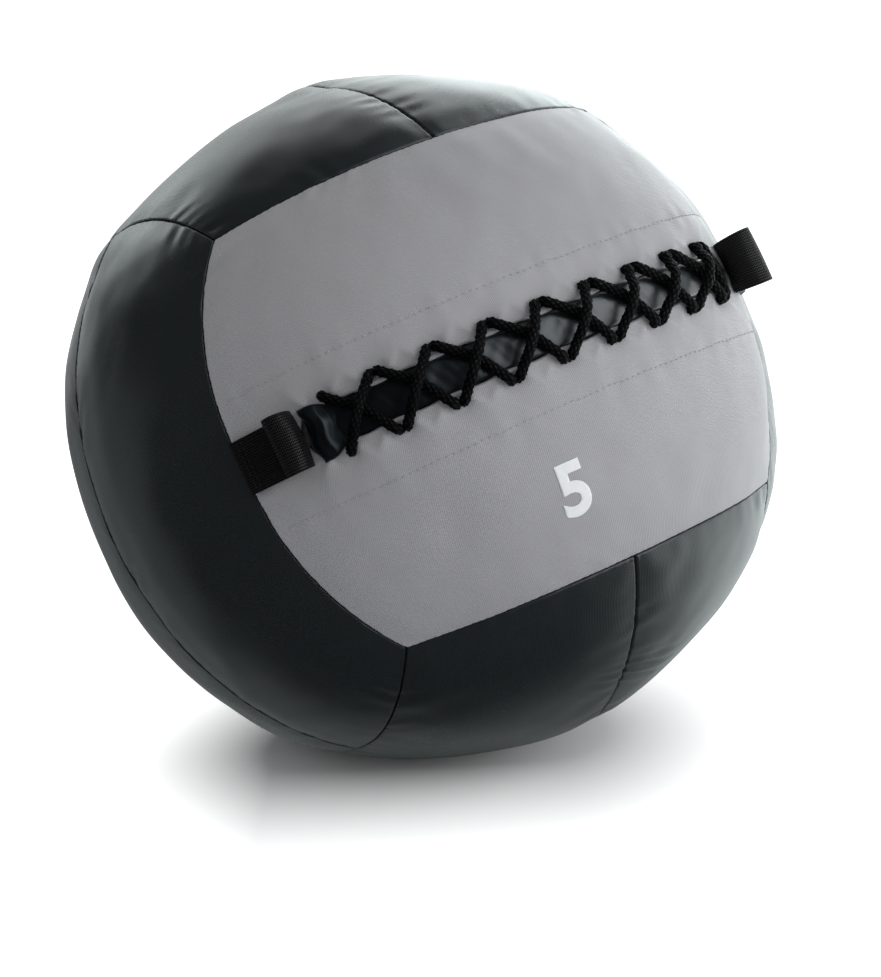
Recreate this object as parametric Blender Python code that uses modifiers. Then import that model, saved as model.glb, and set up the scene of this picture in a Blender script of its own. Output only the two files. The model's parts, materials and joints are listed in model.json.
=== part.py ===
"""A soft wall ball, 350 mm across, lying on the floor as a training ball does.

Twelve vinyl panels are sewn into the skin: six faces like a cube's, each in two halves.
The grey face's two halves part along a slit, which one black cord laces shut over a tongue.
A loop of webbing is sewn in at each end of the slit and swings on its sewn edge.
A liner bag, two halves of fibre padding and a bag of sand fill the skin.

The ball's own axes: X along the slit, -Y out of the grey face, Z up across the slit.
Lengths are metres. World Z is up and the floor is at zero, under the middle of the ball.
"""
import math

import bmesh
import bpy
import numpy as np
from mathutils import Matrix, Quaternion, Vector

# The ball and how it lies
BALL_RADIUS = 0.175
FACE_LIFT = math.radians(25.81)
SLIT_ROLL = math.radians(15.74)
CORNER_SWELL = 0.0041
SWELL_MEAN_SHARE = 0.6
END_DRAW = 0.0045
END_DRAW_REACH = 0.040
SPREAD_SHARE = 0.006
SLUMP_SHARE = 0.0294
FOOT_DEPTH = 0.005
FOOT_EASE = 0.002

# The sewn skin
SKIN_WALL = 0.0012
FIT_GAP = 0.0003
SEAM_DIP = 0.0025
SEAM_EASE = 0.010
SEAM_ALLOWANCE = 0.0035
LONG_SEAM_ANGLE = math.radians(37.1)
KNOT_SHARES = (0.0, 0.09, 0.36, 0.64, 0.91, 1.0)
FOOT_PANEL = "bottom_left_panel"

# The slit and its hems
SLIT_HALF_WIDTH = 0.0090
SLIT_SHIFT = -0.0045
SLIT_OPEN_TO = 0.1165
SLIT_CLOSED_AT = 0.1270
HEM_TURN = 0.0030
HEM_CLEARANCE = 0.0005
SLANT_ROOM = 0.0009
HOLE_BAND = 0.0175
FACING_REACH = 0.0310
FACING_WALL = 0.0012
FACING_END_MARGIN = 0.009

# The lace and its holes
LACE_DIAMETER = 0.0046
LACE_PAIRS = 9
LACE_PITCH = 0.0262
LACE_SHIFT = -0.0076
LACE_ROW = 0.0137
HOLE_CLEARANCE = 0.0003
HOLE_BRIDGE = 0.0005
LACE_BEND = 0.0028
LACE_BOW = 0.0022
LACE_UNDER_ROOM = 0.0013
LACE_CROSSING_GAP = 0.0007
LACE_HUMP_FLAT = 0.0030
LACE_HUMP_REACH = 0.0120
LACE_TAIL = 0.0140
LEAST_LACE_GAP = 0.0004

# The tongue behind the slit
TONGUE_WALL = 0.0015
TONGUE_HALF_WIDTH = 0.0242
TONGUE_LEFT_END = -0.1230
TONGUE_RIGHT_END = 0.1170
TONGUE_CROWN_DEPTH = 0.0010
TONGUE_SHOULDER = 0.0035
TONGUE_CLEARANCE = 0.0006

# The webbing loops
WEB_WIDTH = 0.0250
WEB_WALL = 0.0013
WEB_LOOP_WIDTH = 0.0120
WEB_LOOP_HEIGHT = 0.0180
LEFT_WEB_LOOP_PLACE = -0.1300
RIGHT_WEB_LOOP_PLACE = 0.1215
WEB_ROOT_MARGIN = 0.0015

# What fills the skin
LINER_WALL = 0.0010
LINER_SLACK = 0.0029
FILL_SHARES = (0.0, 0.2, 0.45, 0.76, 1.0)
TROUGH_CLEARANCE = 0.0007
PADDING_SLACK = 0.0005
CORE_RADIUS = 0.0660
CORE_WALL = 0.0010
CORE_MOUTH_RADIUS = 0.0180

SAND_SLACK = 0.0010

# Meshes
WELD_DISTANCE = 0.00005
REPEAT_DISTANCE = 0.0002
LACE_SAMPLE = 0.0011
SHARP_ANGLE = math.radians(35)
CORE_SEGMENTS = 16
CORE_RINGS = 10
HOLE_SIDES = 8
TONGUE_CELLS = 12
LOOP_CELLS = 14
LOOP_FLAT_CELLS = 3
QUARTER_BEND_STEPS = 2
HALF_BEND_STEPS = 4
HUMP_STEPS = 6

ATTITUDE = Matrix.Rotation(-FACE_LIFT, 3, "X") @ Matrix.Rotation(-SLIT_ROLL, 3, "Y")
SLUMPED_RADIUS = BALL_RADIUS * (1.0 - SLUMP_SHARE)
CENTRE_HEIGHT = SLUMPED_RADIUS - FOOT_DEPTH
SEAM_HALF_LENGTH = BALL_RADIUS * (math.pi / 2 - LONG_SEAM_ANGLE)
HALF_FACE_WIDTH = BALL_RADIUS * LONG_SEAM_ANGLE
LACE_RADIUS = LACE_DIAMETER / 2
HOLE_RADIUS = LACE_RADIUS + HOLE_CLEARANCE
PAIR_HALF = HOLE_RADIUS + HOLE_BRIDGE / 2
FACING_TOP = -(SKIN_WALL + FIT_GAP)
FACING_UNDERSIDE = FACING_TOP - FACING_WALL
LACE_REST_HEIGHT = LACE_RADIUS + FIT_GAP
LACE_UNDER_START = FACING_UNDERSIDE - LACE_UNDER_ROOM
LACE_LOWEST = LACE_UNDER_START - PAIR_HALF - LACE_RADIUS
TONGUE_WING = LACE_LOWEST - TONGUE_CLEARANCE
TROUGH_FLOOR = TONGUE_WING - TONGUE_WALL - TROUGH_CLEARANCE


def clear_scene():
    for item in list(bpy.data.objects):
        bpy.data.objects.remove(item, do_unlink=True)


def make_collection(name):
    collection = bpy.data.collections.new(name)
    bpy.context.scene.collection.children.link(collection)
    return collection


def make_material(name, colour, roughness, metallic=0.0):
    material = bpy.data.materials.new(name)
    material.use_nodes = True
    shader = material.node_tree.nodes["Principled BSDF"]
    shader.inputs["Base Color"].default_value = (*colour, 1.0)
    shader.inputs["Roughness"].default_value = roughness
    shader.inputs["Metallic"].default_value = metallic
    material.diffuse_color = (*colour, 1.0)
    return material


def smooth_step(value):
    value = min(max(value, 0.0), 1.0)
    return value * value * (3.0 - 2.0 * value)


# Shape of the resting ball

def floor_lift(skin_height):
    """How far the floor pushes up a point of the skin at this height over the ball's centre."""
    above = skin_height + CENTRE_HEIGHT
    if above <= -FOOT_EASE:
        return -above
    if above >= FOOT_EASE:
        return 0.0
    return (above + FOOT_EASE) ** 2 / (4.0 * FOOT_EASE) - above


def skin_radius(direction):
    """The filled skin is fuller at the faces' corners, and drawn in where the slit's ends are sewn."""
    x, y, z = (part * part for part in direction)
    radius = BALL_RADIUS + CORNER_SWELL * (3.0 * (x * y + y * z + z * x) - SWELL_MEAN_SHARE)
    for side in (-1, 1):
        end = Vector((side * math.cos(LONG_SEAM_ANGLE), -math.sin(LONG_SEAM_ANGLE), 0.0))
        away = (direction - end).length * BALL_RADIUS / END_DRAW_REACH
        radius -= END_DRAW * math.exp(-away * away)
    return radius


def settle(direction, height):
    """Place, in the ball's axes, of a point over or under the skin once the ball has slumped."""
    radius = skin_radius(direction)
    world = ATTITUDE @ (direction * (radius + height))
    world.x *= 1.0 + SPREAD_SHARE
    world.y *= 1.0 + SPREAD_SHARE
    world.z *= 1.0 - SLUMP_SHARE
    world.z += floor_lift((ATTITUDE @ direction).z * radius * (1.0 - SLUMP_SHARE))
    return ATTITUDE.transposed() @ world


def slit_direction(along, across):
    """Direction of a point of the skin by its arc lengths along and across the slit."""
    longitude = along / BALL_RADIUS
    latitude = across / BALL_RADIUS
    level = math.cos(latitude)
    return Vector((math.sin(longitude) * level, -math.cos(longitude) * level, math.sin(latitude)))


def crease(gaps):
    """How far stitching draws the skin in, by the distances to the seams around."""
    free = 1.0
    for gap in gaps:
        free *= 1.0 - math.exp(-(gap / SEAM_EASE) ** 2)
    return -SEAM_DIP * (1.0 - free)


def slit_point(along, across, height):
    """A point over or under the grey skin, which dips to the seams at the slit's ends."""
    return settle(slit_direction(along, across), height + crease([SEAM_HALF_LENGTH - abs(along)]))


# Seams between the panels

def arc_through(start, middle, end):
    """The circle through three directions, as a function of a share from 0 at start to 1 at end."""
    axis = (middle - start).cross(end - start).normalized()
    centre = axis * axis.dot(start)
    arm = start - centre
    turn = arm.angle(end - centre)

    def at(share):
        return centre + Quaternion(axis, turn * share) @ arm
    return at


def full_seam_shares():
    half = [share / 2 for share in KNOT_SHARES]
    return [0.5 - share for share in reversed(half[1:])] + [0.5 + share for share in half]


def seam_direction(arc, share):
    """A point of a sewn seam, straight from knot to knot so both panels meet on the same line."""
    shares = full_seam_shares()
    for low, high in zip(shares, shares[1:]):
        if share <= high:
            step = (share - low) / (high - low)
            return arc(low).lerp(arc(high), step).normalized()
    return arc(1.0).normalized()


def slit_half_width(along):
    """Half the gap between the two hems, which closes to a butt past the last lace holes."""
    closing = (abs(along - SLIT_SHIFT) - SLIT_OPEN_TO) / (SLIT_CLOSED_AT - SLIT_OPEN_TO)
    return FIT_GAP / 2 + (SLIT_HALF_WIDTH - FIT_GAP / 2) * (1.0 - smooth_step(closing))


class HalfFace:
    """Half of one of the ball's six faces: a four-sided patch of the skin.

    s runs along the split from 0 to 1, t across from 0 at the split to 1 at the long seam.
    """

    def __init__(self, outward, along, across, slit=False):
        sine, cosine = math.sin(LONG_SEAM_ANGLE), math.cos(LONG_SEAM_ANGLE)
        self.outward, self.along, self.across, self.slit = outward, along, across, slit
        corners = {(i, j): (outward + i * along + j * across).normalized()
                   for i in (-1, 1) for j in (-1, 1)}
        ends = {i: outward * sine + i * along * cosine for i in (-1, 1)}
        long_middle = outward * cosine + across * sine
        self.long_arc = arc_through(corners[-1, 1], long_middle, corners[1, 1])
        self.end_arcs = {i: arc_through(corners[i, -1], ends[i], corners[i, 1]) for i in (-1, 1)}
        chord = (corners[1, 1] - corners[-1, 1]).length
        self.long_seam_length = BALL_RADIUS * 2 * math.asin(chord / 2)

    def split_edge(self, s):
        place = (2.0 * s - 1.0) * SEAM_HALF_LENGTH
        if self.slit:
            half_width = slit_half_width(place) * math.copysign(1.0, self.across.z)
            return slit_direction(place, half_width)
        angle = place / BALL_RADIUS
        return self.outward * math.cos(angle) + self.along * math.sin(angle)

    def direction(self, s, t):
        """A blend of the patch's four edges, brought back to the ball."""
        split, long_seam = self.split_edge(s), seam_direction(self.long_arc, s)
        near = seam_direction(self.end_arcs[-1], (1.0 + t) / 2)
        far = seam_direction(self.end_arcs[1], (1.0 + t) / 2)
        corners = ((1 - s) * ((1 - t) * self.split_edge(0.0) + t * seam_direction(self.long_arc, 0.0))
                   + s * ((1 - t) * self.split_edge(1.0) + t * seam_direction(self.long_arc, 1.0)))
        blend = (1 - t) * split + t * long_seam + (1 - s) * near + s * far - corners
        return blend.normalized()

    def length_at(self, t):
        return 2.0 * SEAM_HALF_LENGTH * (1.0 - t) + self.long_seam_length * t

    def dip(self, s, t):
        """How far the stitching draws the skin in, near a seam."""
        gaps = [(1.0 - t) * HALF_FACE_WIDTH, s * self.length_at(t), (1.0 - s) * self.length_at(t)]
        if not self.slit:
            gaps.append(t * HALF_FACE_WIDTH)
        return crease(gaps)

    def inset(self, s, t):
        """Shares moved in from the seams by half the gap that two sewn panels keep."""
        side = FIT_GAP / 2 / self.length_at(t)
        far = FIT_GAP / 2 / HALF_FACE_WIDTH
        near = 0.0 if self.slit else far
        return side + (1.0 - 2.0 * side) * s, near + (1.0 - near - far) * t


X, Y, Z = Vector((1, 0, 0)), Vector((0, 1, 0)), Vector((0, 0, 1))
FACES = {
    "front": (-Y, X, Z, ("grey_lower_panel", "grey_upper_panel")),
    "back": (Y, X, Z, ("back_lower_panel", "back_upper_panel")),
    "left": (-X, Z, Y, ("left_front_panel", "left_rear_panel")),
    "right": (X, Z, Y, ("right_front_panel", "right_rear_panel")),
    "top": (Z, Y, X, ("top_left_panel", "top_right_panel")),
    "bottom": (-Z, Y, X, ("bottom_left_panel", "bottom_right_panel")),
}


def half_faces():
    """Each panel's name and its half face."""
    for face, (outward, along, across, names) in FACES.items():
        for sign, name in zip((-1, 1), names):
            yield name, HalfFace(outward, along, across * sign, slit=face == "front")


def halved(shares):
    """The same shares with one more between each two."""
    between = [(low + high) / 2 for low, high in zip(shares, shares[1:])]
    return sorted(list(shares) + between)


def facing_share(across):
    """The share, across a grey half face, of a place this far from the slit's middle."""
    return (across - SLIT_HALF_WIDTH) / (HALF_FACE_WIDTH - SLIT_HALF_WIDTH)


def slit_panel_shares():
    """Columns and rows of a grey panel, with the facing's own rows among them."""
    slit_marks = [0.5 + (SLIT_SHIFT + side * place) / (2 * SEAM_HALF_LENGTH) for side in (-1, 1)
                  for place in (SLIT_OPEN_TO, (SLIT_OPEN_TO + SLIT_CLOSED_AT) / 2, SLIT_CLOSED_AT)]
    hem_rows = [facing_share(place) for place in (SLIT_HALF_WIDTH + SKIN_WALL + HEM_CLEARANCE,
                                                  HOLE_BAND, FACING_REACH)]
    kept = [row for row in KNOT_SHARES[1:] if row > hem_rows[-1]]
    return sorted(full_seam_shares() + slit_marks), [0.0] + hem_rows + kept


def panel_shares(name, half):
    """Where a panel's mesh has its columns and rows."""
    if half.slit:
        return slit_panel_shares()
    if name == FOOT_PANEL:
        return halved(full_seam_shares()), halved(KNOT_SHARES)
    return full_seam_shares(), list(KNOT_SHARES)


# Meshes and objects

def patch_mesh(columns, rows, place):
    """A grid whose points are placed by shares, with each point's own shares kept beside it."""
    work = bmesh.new()
    bmesh.ops.create_grid(work, x_segments=len(columns) - 1, y_segments=len(rows) - 1, size=1.0)
    shares = {}
    for vertex in work.verts:
        column = round((vertex.co.x + 1.0) / 2.0 * (len(columns) - 1))
        row = round((vertex.co.y + 1.0) / 2.0 * (len(rows) - 1))
        shares[vertex] = (columns[column], rows[row])
        vertex.co = place(*shares[vertex])
    return work, shares


def face_outwards(work):
    """Turns the surface over if it faces the ball's centre."""
    work.normal_update()
    facing = sum(face.normal.dot(face.calc_center_median()) * face.calc_area() for face in work.faces)
    if facing < 0.0:
        bmesh.ops.reverse_faces(work, faces=work.faces)


def finish_mesh(work, name):
    mesh = bpy.data.meshes.new(name)
    work.to_mesh(mesh)
    work.free()
    mesh.shade_smooth()
    mesh.set_sharp_from_angle(angle=SHARP_ANGLE)
    return mesh


def add_object(name, data, material, collection, parent):
    item = bpy.data.objects.new(name, data)
    if material:
        data.materials.append(material)
    collection.objects.link(item)
    item.parent = parent
    return item


def add_empty(name, collection, parent=None):
    return add_object(name, None, None, collection, parent)


def add_wall(item, thickness, offset=-1.0):
    wall = item.modifiers.new("wall", "SOLIDIFY")
    wall.thickness = thickness
    wall.offset = offset
    wall.use_even_offset = True
    wall.use_rim = True


def add_cut(item, cutter, operation="DIFFERENCE"):
    cut = item.modifiers.new("cut", "BOOLEAN")
    cut.operation = operation
    cut.object = cutter
    cut.solver = "EXACT"


def hide_guide(item):
    item.hide_render = True
    item.display_type = "WIRE"


# The skin

def add_panel(name, half, material, collection, parent):
    """A vinyl panel whose edges are turned in where it is sewn, or under the hem at the slit."""
    def place(s, t):
        return settle(half.direction(*half.inset(s, t)), half.dip(s, t))

    work, shares = patch_mesh(*panel_shares(name, half), place)
    rim = [edge for edge in work.edges if edge.is_boundary]
    sources = {vertex for edge in rim for vertex in edge.verts}
    turned = bmesh.ops.extrude_edge_only(work, edges=rim)["geom"]
    for vertex in (element for element in turned if isinstance(element, bmesh.types.BMVert)):
        source = next(edge.other_vert(vertex) for edge in vertex.link_edges
                      if edge.other_vert(vertex) in sources)
        s, t = shares[source]
        depth = HEM_TURN if half.slit and t == 0.0 else SEAM_ALLOWANCE
        vertex.co = settle(half.direction(*half.inset(s, t)), half.dip(s, t) - depth)
    face_outwards(work)
    panel = add_object(name, finish_mesh(work, name), material, collection, parent)
    add_wall(panel, SKIN_WALL)
    return panel


def add_facing(name, half, material, collection, parent):
    """The strip that doubles a grey panel behind its row of lace holes."""
    margin = FACING_END_MARGIN / (2 * SEAM_HALF_LENGTH)
    columns, rows = slit_panel_shares()
    inner = [margin] + [share for share in columns if margin < share < 1.0 - margin] + [1.0 - margin]

    def place(s, t):
        past_end = abs((2.0 * s - 1.0) * SEAM_HALF_LENGTH - SLIT_SHIFT) > SLIT_OPEN_TO + FIT_GAP
        if t == rows[1] and past_end:
            t += SLANT_ROOM / HALF_FACE_WIDTH
        return settle(half.direction(*half.inset(s, t)), half.dip(s, t) + FACING_TOP)

    work, _ = patch_mesh(inner, rows[1:4], place)
    face_outwards(work)
    facing = add_object(name, finish_mesh(work, name), material, collection, parent)
    add_wall(facing, FACING_WALL)
    return facing


def lace_place(index):
    return (index - (LACE_PAIRS - 1) / 2) * LACE_PITCH + LACE_SHIFT


def add_hole_cutters(name, side, collection, parent):
    """Round cutters through a grey panel and its facing: two at each lace place, one where it ends."""
    work = bmesh.new()
    reach = LACE_BEND
    places = [lace_place(index) + offset for index in range(LACE_PAIRS)
              for offset in (-PAIR_HALF, PAIR_HALF)]
    for along in places[1:]:
        outer = slit_point(along, side * LACE_ROW, reach)
        inner = slit_point(along, side * LACE_ROW, FACING_UNDERSIDE - reach)
        axis = outer - inner
        turn = axis.to_track_quat("Z", "Y").to_matrix().to_4x4()
        bmesh.ops.create_cone(work, cap_ends=True, segments=HOLE_SIDES, radius1=HOLE_RADIUS,
                              radius2=HOLE_RADIUS, depth=axis.length,
                              matrix=Matrix.Translation((outer + inner) / 2) @ turn)
    cutter = add_object(name, finish_mesh(work, name), None, collection, parent)
    hide_guide(cutter)
    return cutter


# The lace

def bend(from_place, to_place, centre_height, radius, steps, quarter):
    """Points of a bend that stands square to the skin, between two places on it.

    A quarter bend rises from the hole over from_place and lies down towards to_place. A half bend
    hangs under the skin from one hole to the other.
    """
    (along, across), (end_along, end_across) = from_place, to_place
    span = math.hypot(end_along - along, end_across - across)
    unit_along, unit_across = (end_along - along) / span, (end_across - across) / span
    points = []
    for step in range(steps + 1):
        if quarter:
            angle = math.pi / 2 * step / steps
            forward, height = radius * (1 - math.cos(angle)), centre_height + radius * math.sin(angle)
        else:
            angle = math.pi * step / steps
            forward, height = radius * (1 - math.cos(angle)), centre_height - radius * math.sin(angle)
        points.append(slit_point(along + unit_along * forward, across + unit_across * forward, height))
    return points


def strand(start, end, over, bow=0.0):
    """One stretch of lace from hole to hole, which bends out, crosses the slit and bends in."""
    span = math.hypot(end[0] - start[0], end[1] - start[1])
    side_along = abs(end[1] - start[1]) / span * bow
    side_across = abs(end[0] - start[0]) / span * bow
    rise = LACE_REST_HEIGHT - LACE_BEND
    crest = LACE_DIAMETER + LACE_CROSSING_GAP if over else 0.0
    out = bend(start, end, rise, LACE_BEND, QUARTER_BEND_STEPS, quarter=True)
    back = bend(end, start, rise, LACE_BEND, QUARTER_BEND_STEPS, quarter=True)
    middle = []
    free = span - 2 * LACE_BEND
    for step in range(1, HUMP_STEPS):
        travelled = LACE_BEND + free * step / HUMP_STEPS
        share = travelled / span
        swing = min(max(abs(travelled - span / 2) - LACE_HUMP_FLAT, 0.0) / LACE_HUMP_REACH, 1.0)
        hump = crest * math.cos(swing * math.pi / 2) ** 2
        swell = math.sin(math.pi * share) ** 2
        middle.append(slit_point(start[0] + (end[0] - start[0]) * share + side_along * swell,
                                 start[1] + (end[1] - start[1]) * share + side_across * swell,
                                 LACE_REST_HEIGHT + hump))
    return out + middle + back[::-1]


def lace_route():
    """The cord's centre line: down both sides of the slit from its right end, crossing each time."""
    def hole(index, side, offset):
        return lace_place(index) + offset, side * LACE_ROW

    def half_route(side):
        """From the last lace place to the first, starting on this side of the slit."""
        points = []
        for index in range(LACE_PAIRS - 1, 0, -1):
            over = side > 0
            points += strand(hole(index, side, -PAIR_HALF), hole(index - 1, -side, PAIR_HALF), over,
                             0.0 if over else LACE_BOW)
            side = -side
            if index > 1:
                points += bend(hole(index - 1, side, PAIR_HALF), hole(index - 1, side, -PAIR_HALF),
                               LACE_UNDER_START, PAIR_HALF, HALF_BEND_STEPS, quarter=False)
        along, across = hole(0, side, PAIR_HALF)
        tail_height = LACE_UNDER_START - LACE_BEND
        tail = [slit_point(along, across, LACE_UNDER_START)]
        for step in range(1, QUARTER_BEND_STEPS + 1):
            angle = math.pi / 2 * step / QUARTER_BEND_STEPS
            tail.append(slit_point(along - LACE_BEND * (1 - math.cos(angle)), across,
                                   LACE_UNDER_START - LACE_BEND * math.sin(angle)))
        for step in range(1, QUARTER_BEND_STEPS + 1):
            run = LACE_BEND + LACE_TAIL * step / QUARTER_BEND_STEPS
            tail.append(slit_point(along - run, across, tail_height))
        return points + tail

    last = LACE_PAIRS - 1
    upper_turn = bend(hole(last, 1, PAIR_HALF), hole(last, 1, -PAIR_HALF), LACE_UNDER_START,
                      PAIR_HALF, HALF_BEND_STEPS, quarter=False)
    lower_turn = bend(hole(last, -1, PAIR_HALF), hole(last, -1, -PAIR_HALF), LACE_UNDER_START,
                      PAIR_HALF, HALF_BEND_STEPS, quarter=False)
    bar = strand(hole(last, -1, PAIR_HALF), hole(last, 1, PAIR_HALF), over=False)
    lower = lower_turn + half_route(-1)
    return lower[::-1] + bar + upper_turn + half_route(1)


def without_repeats(points):
    kept = [points[0]]
    for point in points[1:]:
        if (point - kept[-1]).length > REPEAT_DISTANCE:
            kept.append(point)
    return kept


def least_self_gap(points, diameter):
    """The least clear space between stretches of a cord that are not next to each other."""
    samples = []
    for low, high in zip(points, points[1:]):
        steps = max(1, round((high - low).length / LACE_SAMPLE))
        samples += [low.lerp(high, step / steps) for step in range(steps)]
    places = np.array(samples)
    travel = np.concatenate([[0.0], np.cumsum(np.linalg.norm(np.diff(places, axis=0), axis=1))])
    apart = np.linalg.norm(places[:, None] - places[None, :], axis=2)
    near_along = np.abs(travel[:, None] - travel[None, :]) < 2 * diameter
    return float(np.where(near_along, np.inf, apart).min() - diameter)


def add_lace(material, collection, parent):
    points = without_repeats(lace_route())
    gap = least_self_gap(points, LACE_DIAMETER)
    print(f"lace: {len(points)} points, least gap to itself {gap * 1000:.2f} mm")
    if gap < LEAST_LACE_GAP:
        raise ValueError("the lace runs into itself")
    curve = bpy.data.curves.new("lace", "CURVE")
    curve.dimensions = "3D"
    curve.bevel_depth = LACE_RADIUS
    curve.bevel_resolution = 1
    curve.use_fill_caps = True
    spline = curve.splines.new("POLY")
    spline.points.add(len(points) - 1)
    for slot, point in zip(spline.points, points):
        slot.co = (*point, 1.0)
    return add_object("lace", curve, material, collection, parent)


# The tongue

def tongue_height(along, across):
    """The tongue's outer side: a crown that fills the slit, and wings that lie under the hems."""
    outer = LACE_ROW - HOLE_RADIUS
    crown = 1.0 - smooth_step((abs(across) - TONGUE_SHOULDER) / (outer - TONGUE_SHOULDER))
    open_here = smooth_step(slit_half_width(along) / SLIT_HALF_WIDTH)
    return TONGUE_WING + (-TONGUE_CROWN_DEPTH - TONGUE_WING) * crown * open_here


def add_tongue(material, collection, parent):
    outer = LACE_ROW - HOLE_RADIUS
    half_rows = [0.0, TONGUE_SHOULDER, (TONGUE_SHOULDER + outer) / 2, outer, TONGUE_HALF_WIDTH]
    rows = [-row for row in reversed(half_rows[1:])] + half_rows
    length = TONGUE_RIGHT_END - TONGUE_LEFT_END
    columns = [TONGUE_LEFT_END + length * step / TONGUE_CELLS for step in range(TONGUE_CELLS + 1)]

    def place(along, across):
        return slit_point(along, across, tongue_height(along, across))

    work, _ = patch_mesh(columns, rows, place)
    face_outwards(work)
    tongue = add_object("tongue", finish_mesh(work, "tongue"), material, collection, parent)
    add_wall(tongue, TONGUE_WALL)
    return tongue


# The webbing loops

def loop_profile(flat):
    """The doubled strap seen from its edge: distance from the sewn end, and height over the skin."""
    low = FIT_GAP + WEB_WALL / 2
    high = low + WEB_WALL + FIT_GAP
    half_width = (WEB_LOOP_WIDTH - WEB_WALL) / 2
    half_height = (WEB_LOOP_HEIGHT - WEB_WALL) / 2
    centre = low + half_height
    meeting = math.asin((high - centre) / half_height)
    turn = 2 * math.pi - (math.pi / 2 - abs(meeting))
    points = [(flat * step / LOOP_FLAT_CELLS, low) for step in range(LOOP_FLAT_CELLS)]
    for step in range(LOOP_CELLS + 1):
        angle = -math.pi / 2 + turn * step / LOOP_CELLS
        points.append((flat + half_width * math.cos(angle), centre + half_height * math.sin(angle)))
    end = points[-1][0]
    points += [(end * step / LOOP_FLAT_CELLS, high) for step in reversed(range(LOOP_FLAT_CELLS))]
    return points


def add_webbing_loop(name, loop_place, material, collection, parent):
    """A loop of webbing whose parent empty stands on its sewn edge, with X along that edge."""
    side = math.copysign(1.0, loop_place)
    root = SEAM_HALF_LENGTH - WEB_ROOT_MARGIN
    pivot_height = FIT_GAP + WEB_WALL + FIT_GAP / 2
    middle = slit_point(side * root, 0.0, pivot_height)
    upper = slit_point(side * root, WEB_WIDTH / 2, pivot_height)
    lower = slit_point(side * root, -WEB_WIDTH / 2, pivot_height)
    hinge = add_empty(name + "_hinge", collection, parent)
    hinge.location = middle
    hinge.rotation_mode = "QUATERNION"
    hinge.rotation_quaternion = ((upper - lower) * side).to_track_quat("X", "Z")
    local = Matrix.LocRotScale(hinge.location, hinge.rotation_quaternion, None).inverted()
    profile = loop_profile(root - abs(loop_place))

    def place(index, across):
        distance, height = profile[index]
        return local @ slit_point(side * (root - distance), across, height)

    rows = [-WEB_WIDTH / 2, 0.0, WEB_WIDTH / 2]
    work, _ = patch_mesh(list(range(len(profile))), rows, place)
    work.normal_update()
    strap = add_object(name, finish_mesh(work, name), material, collection, hinge)
    add_wall(strap, WEB_WALL, offset=0.0)
    return strap


# The filling

def filling_surface(depth):
    """The filling's outer side, this much under the skin, with a trough for the lace and tongue."""
    rows = list(FILL_SHARES)
    columns = [0.5 - row / 2 for row in reversed(rows[1:])] + [0.5 + row / 2 for row in rows]
    whole = bmesh.new()
    for name, half in half_faces():
        front, half.slit = half.slit, False

        def place(s, t):
            height = half.dip(s, t) - SKIN_WALL - LINER_SLACK - depth
            if front and t <= rows[1] and 0.0 < s < 1.0:
                height = TROUGH_FLOOR - depth
            elif s in (0.0, 1.0) or t in (0.0, 1.0):
                height -= SEAM_ALLOWANCE
            return settle(half.direction(s, t), height)

        work, _ = patch_mesh(columns, rows, place)
        piece = finish_mesh(work, name)
        whole.from_mesh(piece)
        bpy.data.meshes.remove(piece)
    bmesh.ops.remove_doubles(whole, verts=whole.verts, dist=WELD_DISTANCE)
    bmesh.ops.recalc_face_normals(whole, faces=whole.faces)
    bmesh.ops.triangulate(whole, faces=whole.faces, quad_method="FIXED")
    return whole


def add_liner(material, collection, parent):
    """The liner bag, open under the tongue where it is filled."""
    work = filling_surface(0.0)
    reach = FILL_SHARES[1] * SEAM_HALF_LENGTH
    mouth = []
    for face in work.faces:
        middle = face.calc_center_median()
        if middle.y < 0.0 and abs(middle.x) < reach and abs(middle.z) < FILL_SHARES[1] * HALF_FACE_WIDTH:
            mouth.append(face)
    bmesh.ops.delete(work, geom=mouth, context="FACES")
    face_outwards(work)
    liner = add_object("liner_bag", finish_mesh(work, "liner_bag"), material, collection, parent)
    add_wall(liner, LINER_WALL)
    return liner


def add_ball_solid(name, radius, material, collection, parent):
    work = bmesh.new()
    bmesh.ops.create_uvsphere(work, u_segments=CORE_SEGMENTS, v_segments=CORE_RINGS, radius=radius)
    return add_object(name, finish_mesh(work, name), material, collection, parent)


def add_padding(material, parts, cutters, parent):
    """Two halves of fibre padding, front and rear, that close round the weight bag."""
    drop = LINER_WALL + PADDING_SLACK
    keeper_size = 3 * BALL_RADIUS
    hollow = add_ball_solid("core_hollow_cutter", CORE_RADIUS + PADDING_SLACK, None, cutters, parent)
    hide_guide(hollow)
    halves = []
    for name, side in (("front_padding", -1), ("rear_padding", 1)):
        work = filling_surface(drop)
        face_outwards(work)
        half = add_object(name, finish_mesh(work, name), material, parts, parent)
        box = bmesh.new()
        bmesh.ops.create_cube(box, size=keeper_size)
        shift = Vector((0.0, side * (keeper_size + FIT_GAP) / 2, 0.0))
        bmesh.ops.translate(box, verts=box.verts, vec=shift)
        keeper = add_object(name + "_keeper", finish_mesh(box, name + "_keeper"), None, cutters, parent)
        hide_guide(keeper)
        add_cut(half, keeper, "INTERSECT")
        add_cut(half, hollow)
        halves.append(half)
    return halves


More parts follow.
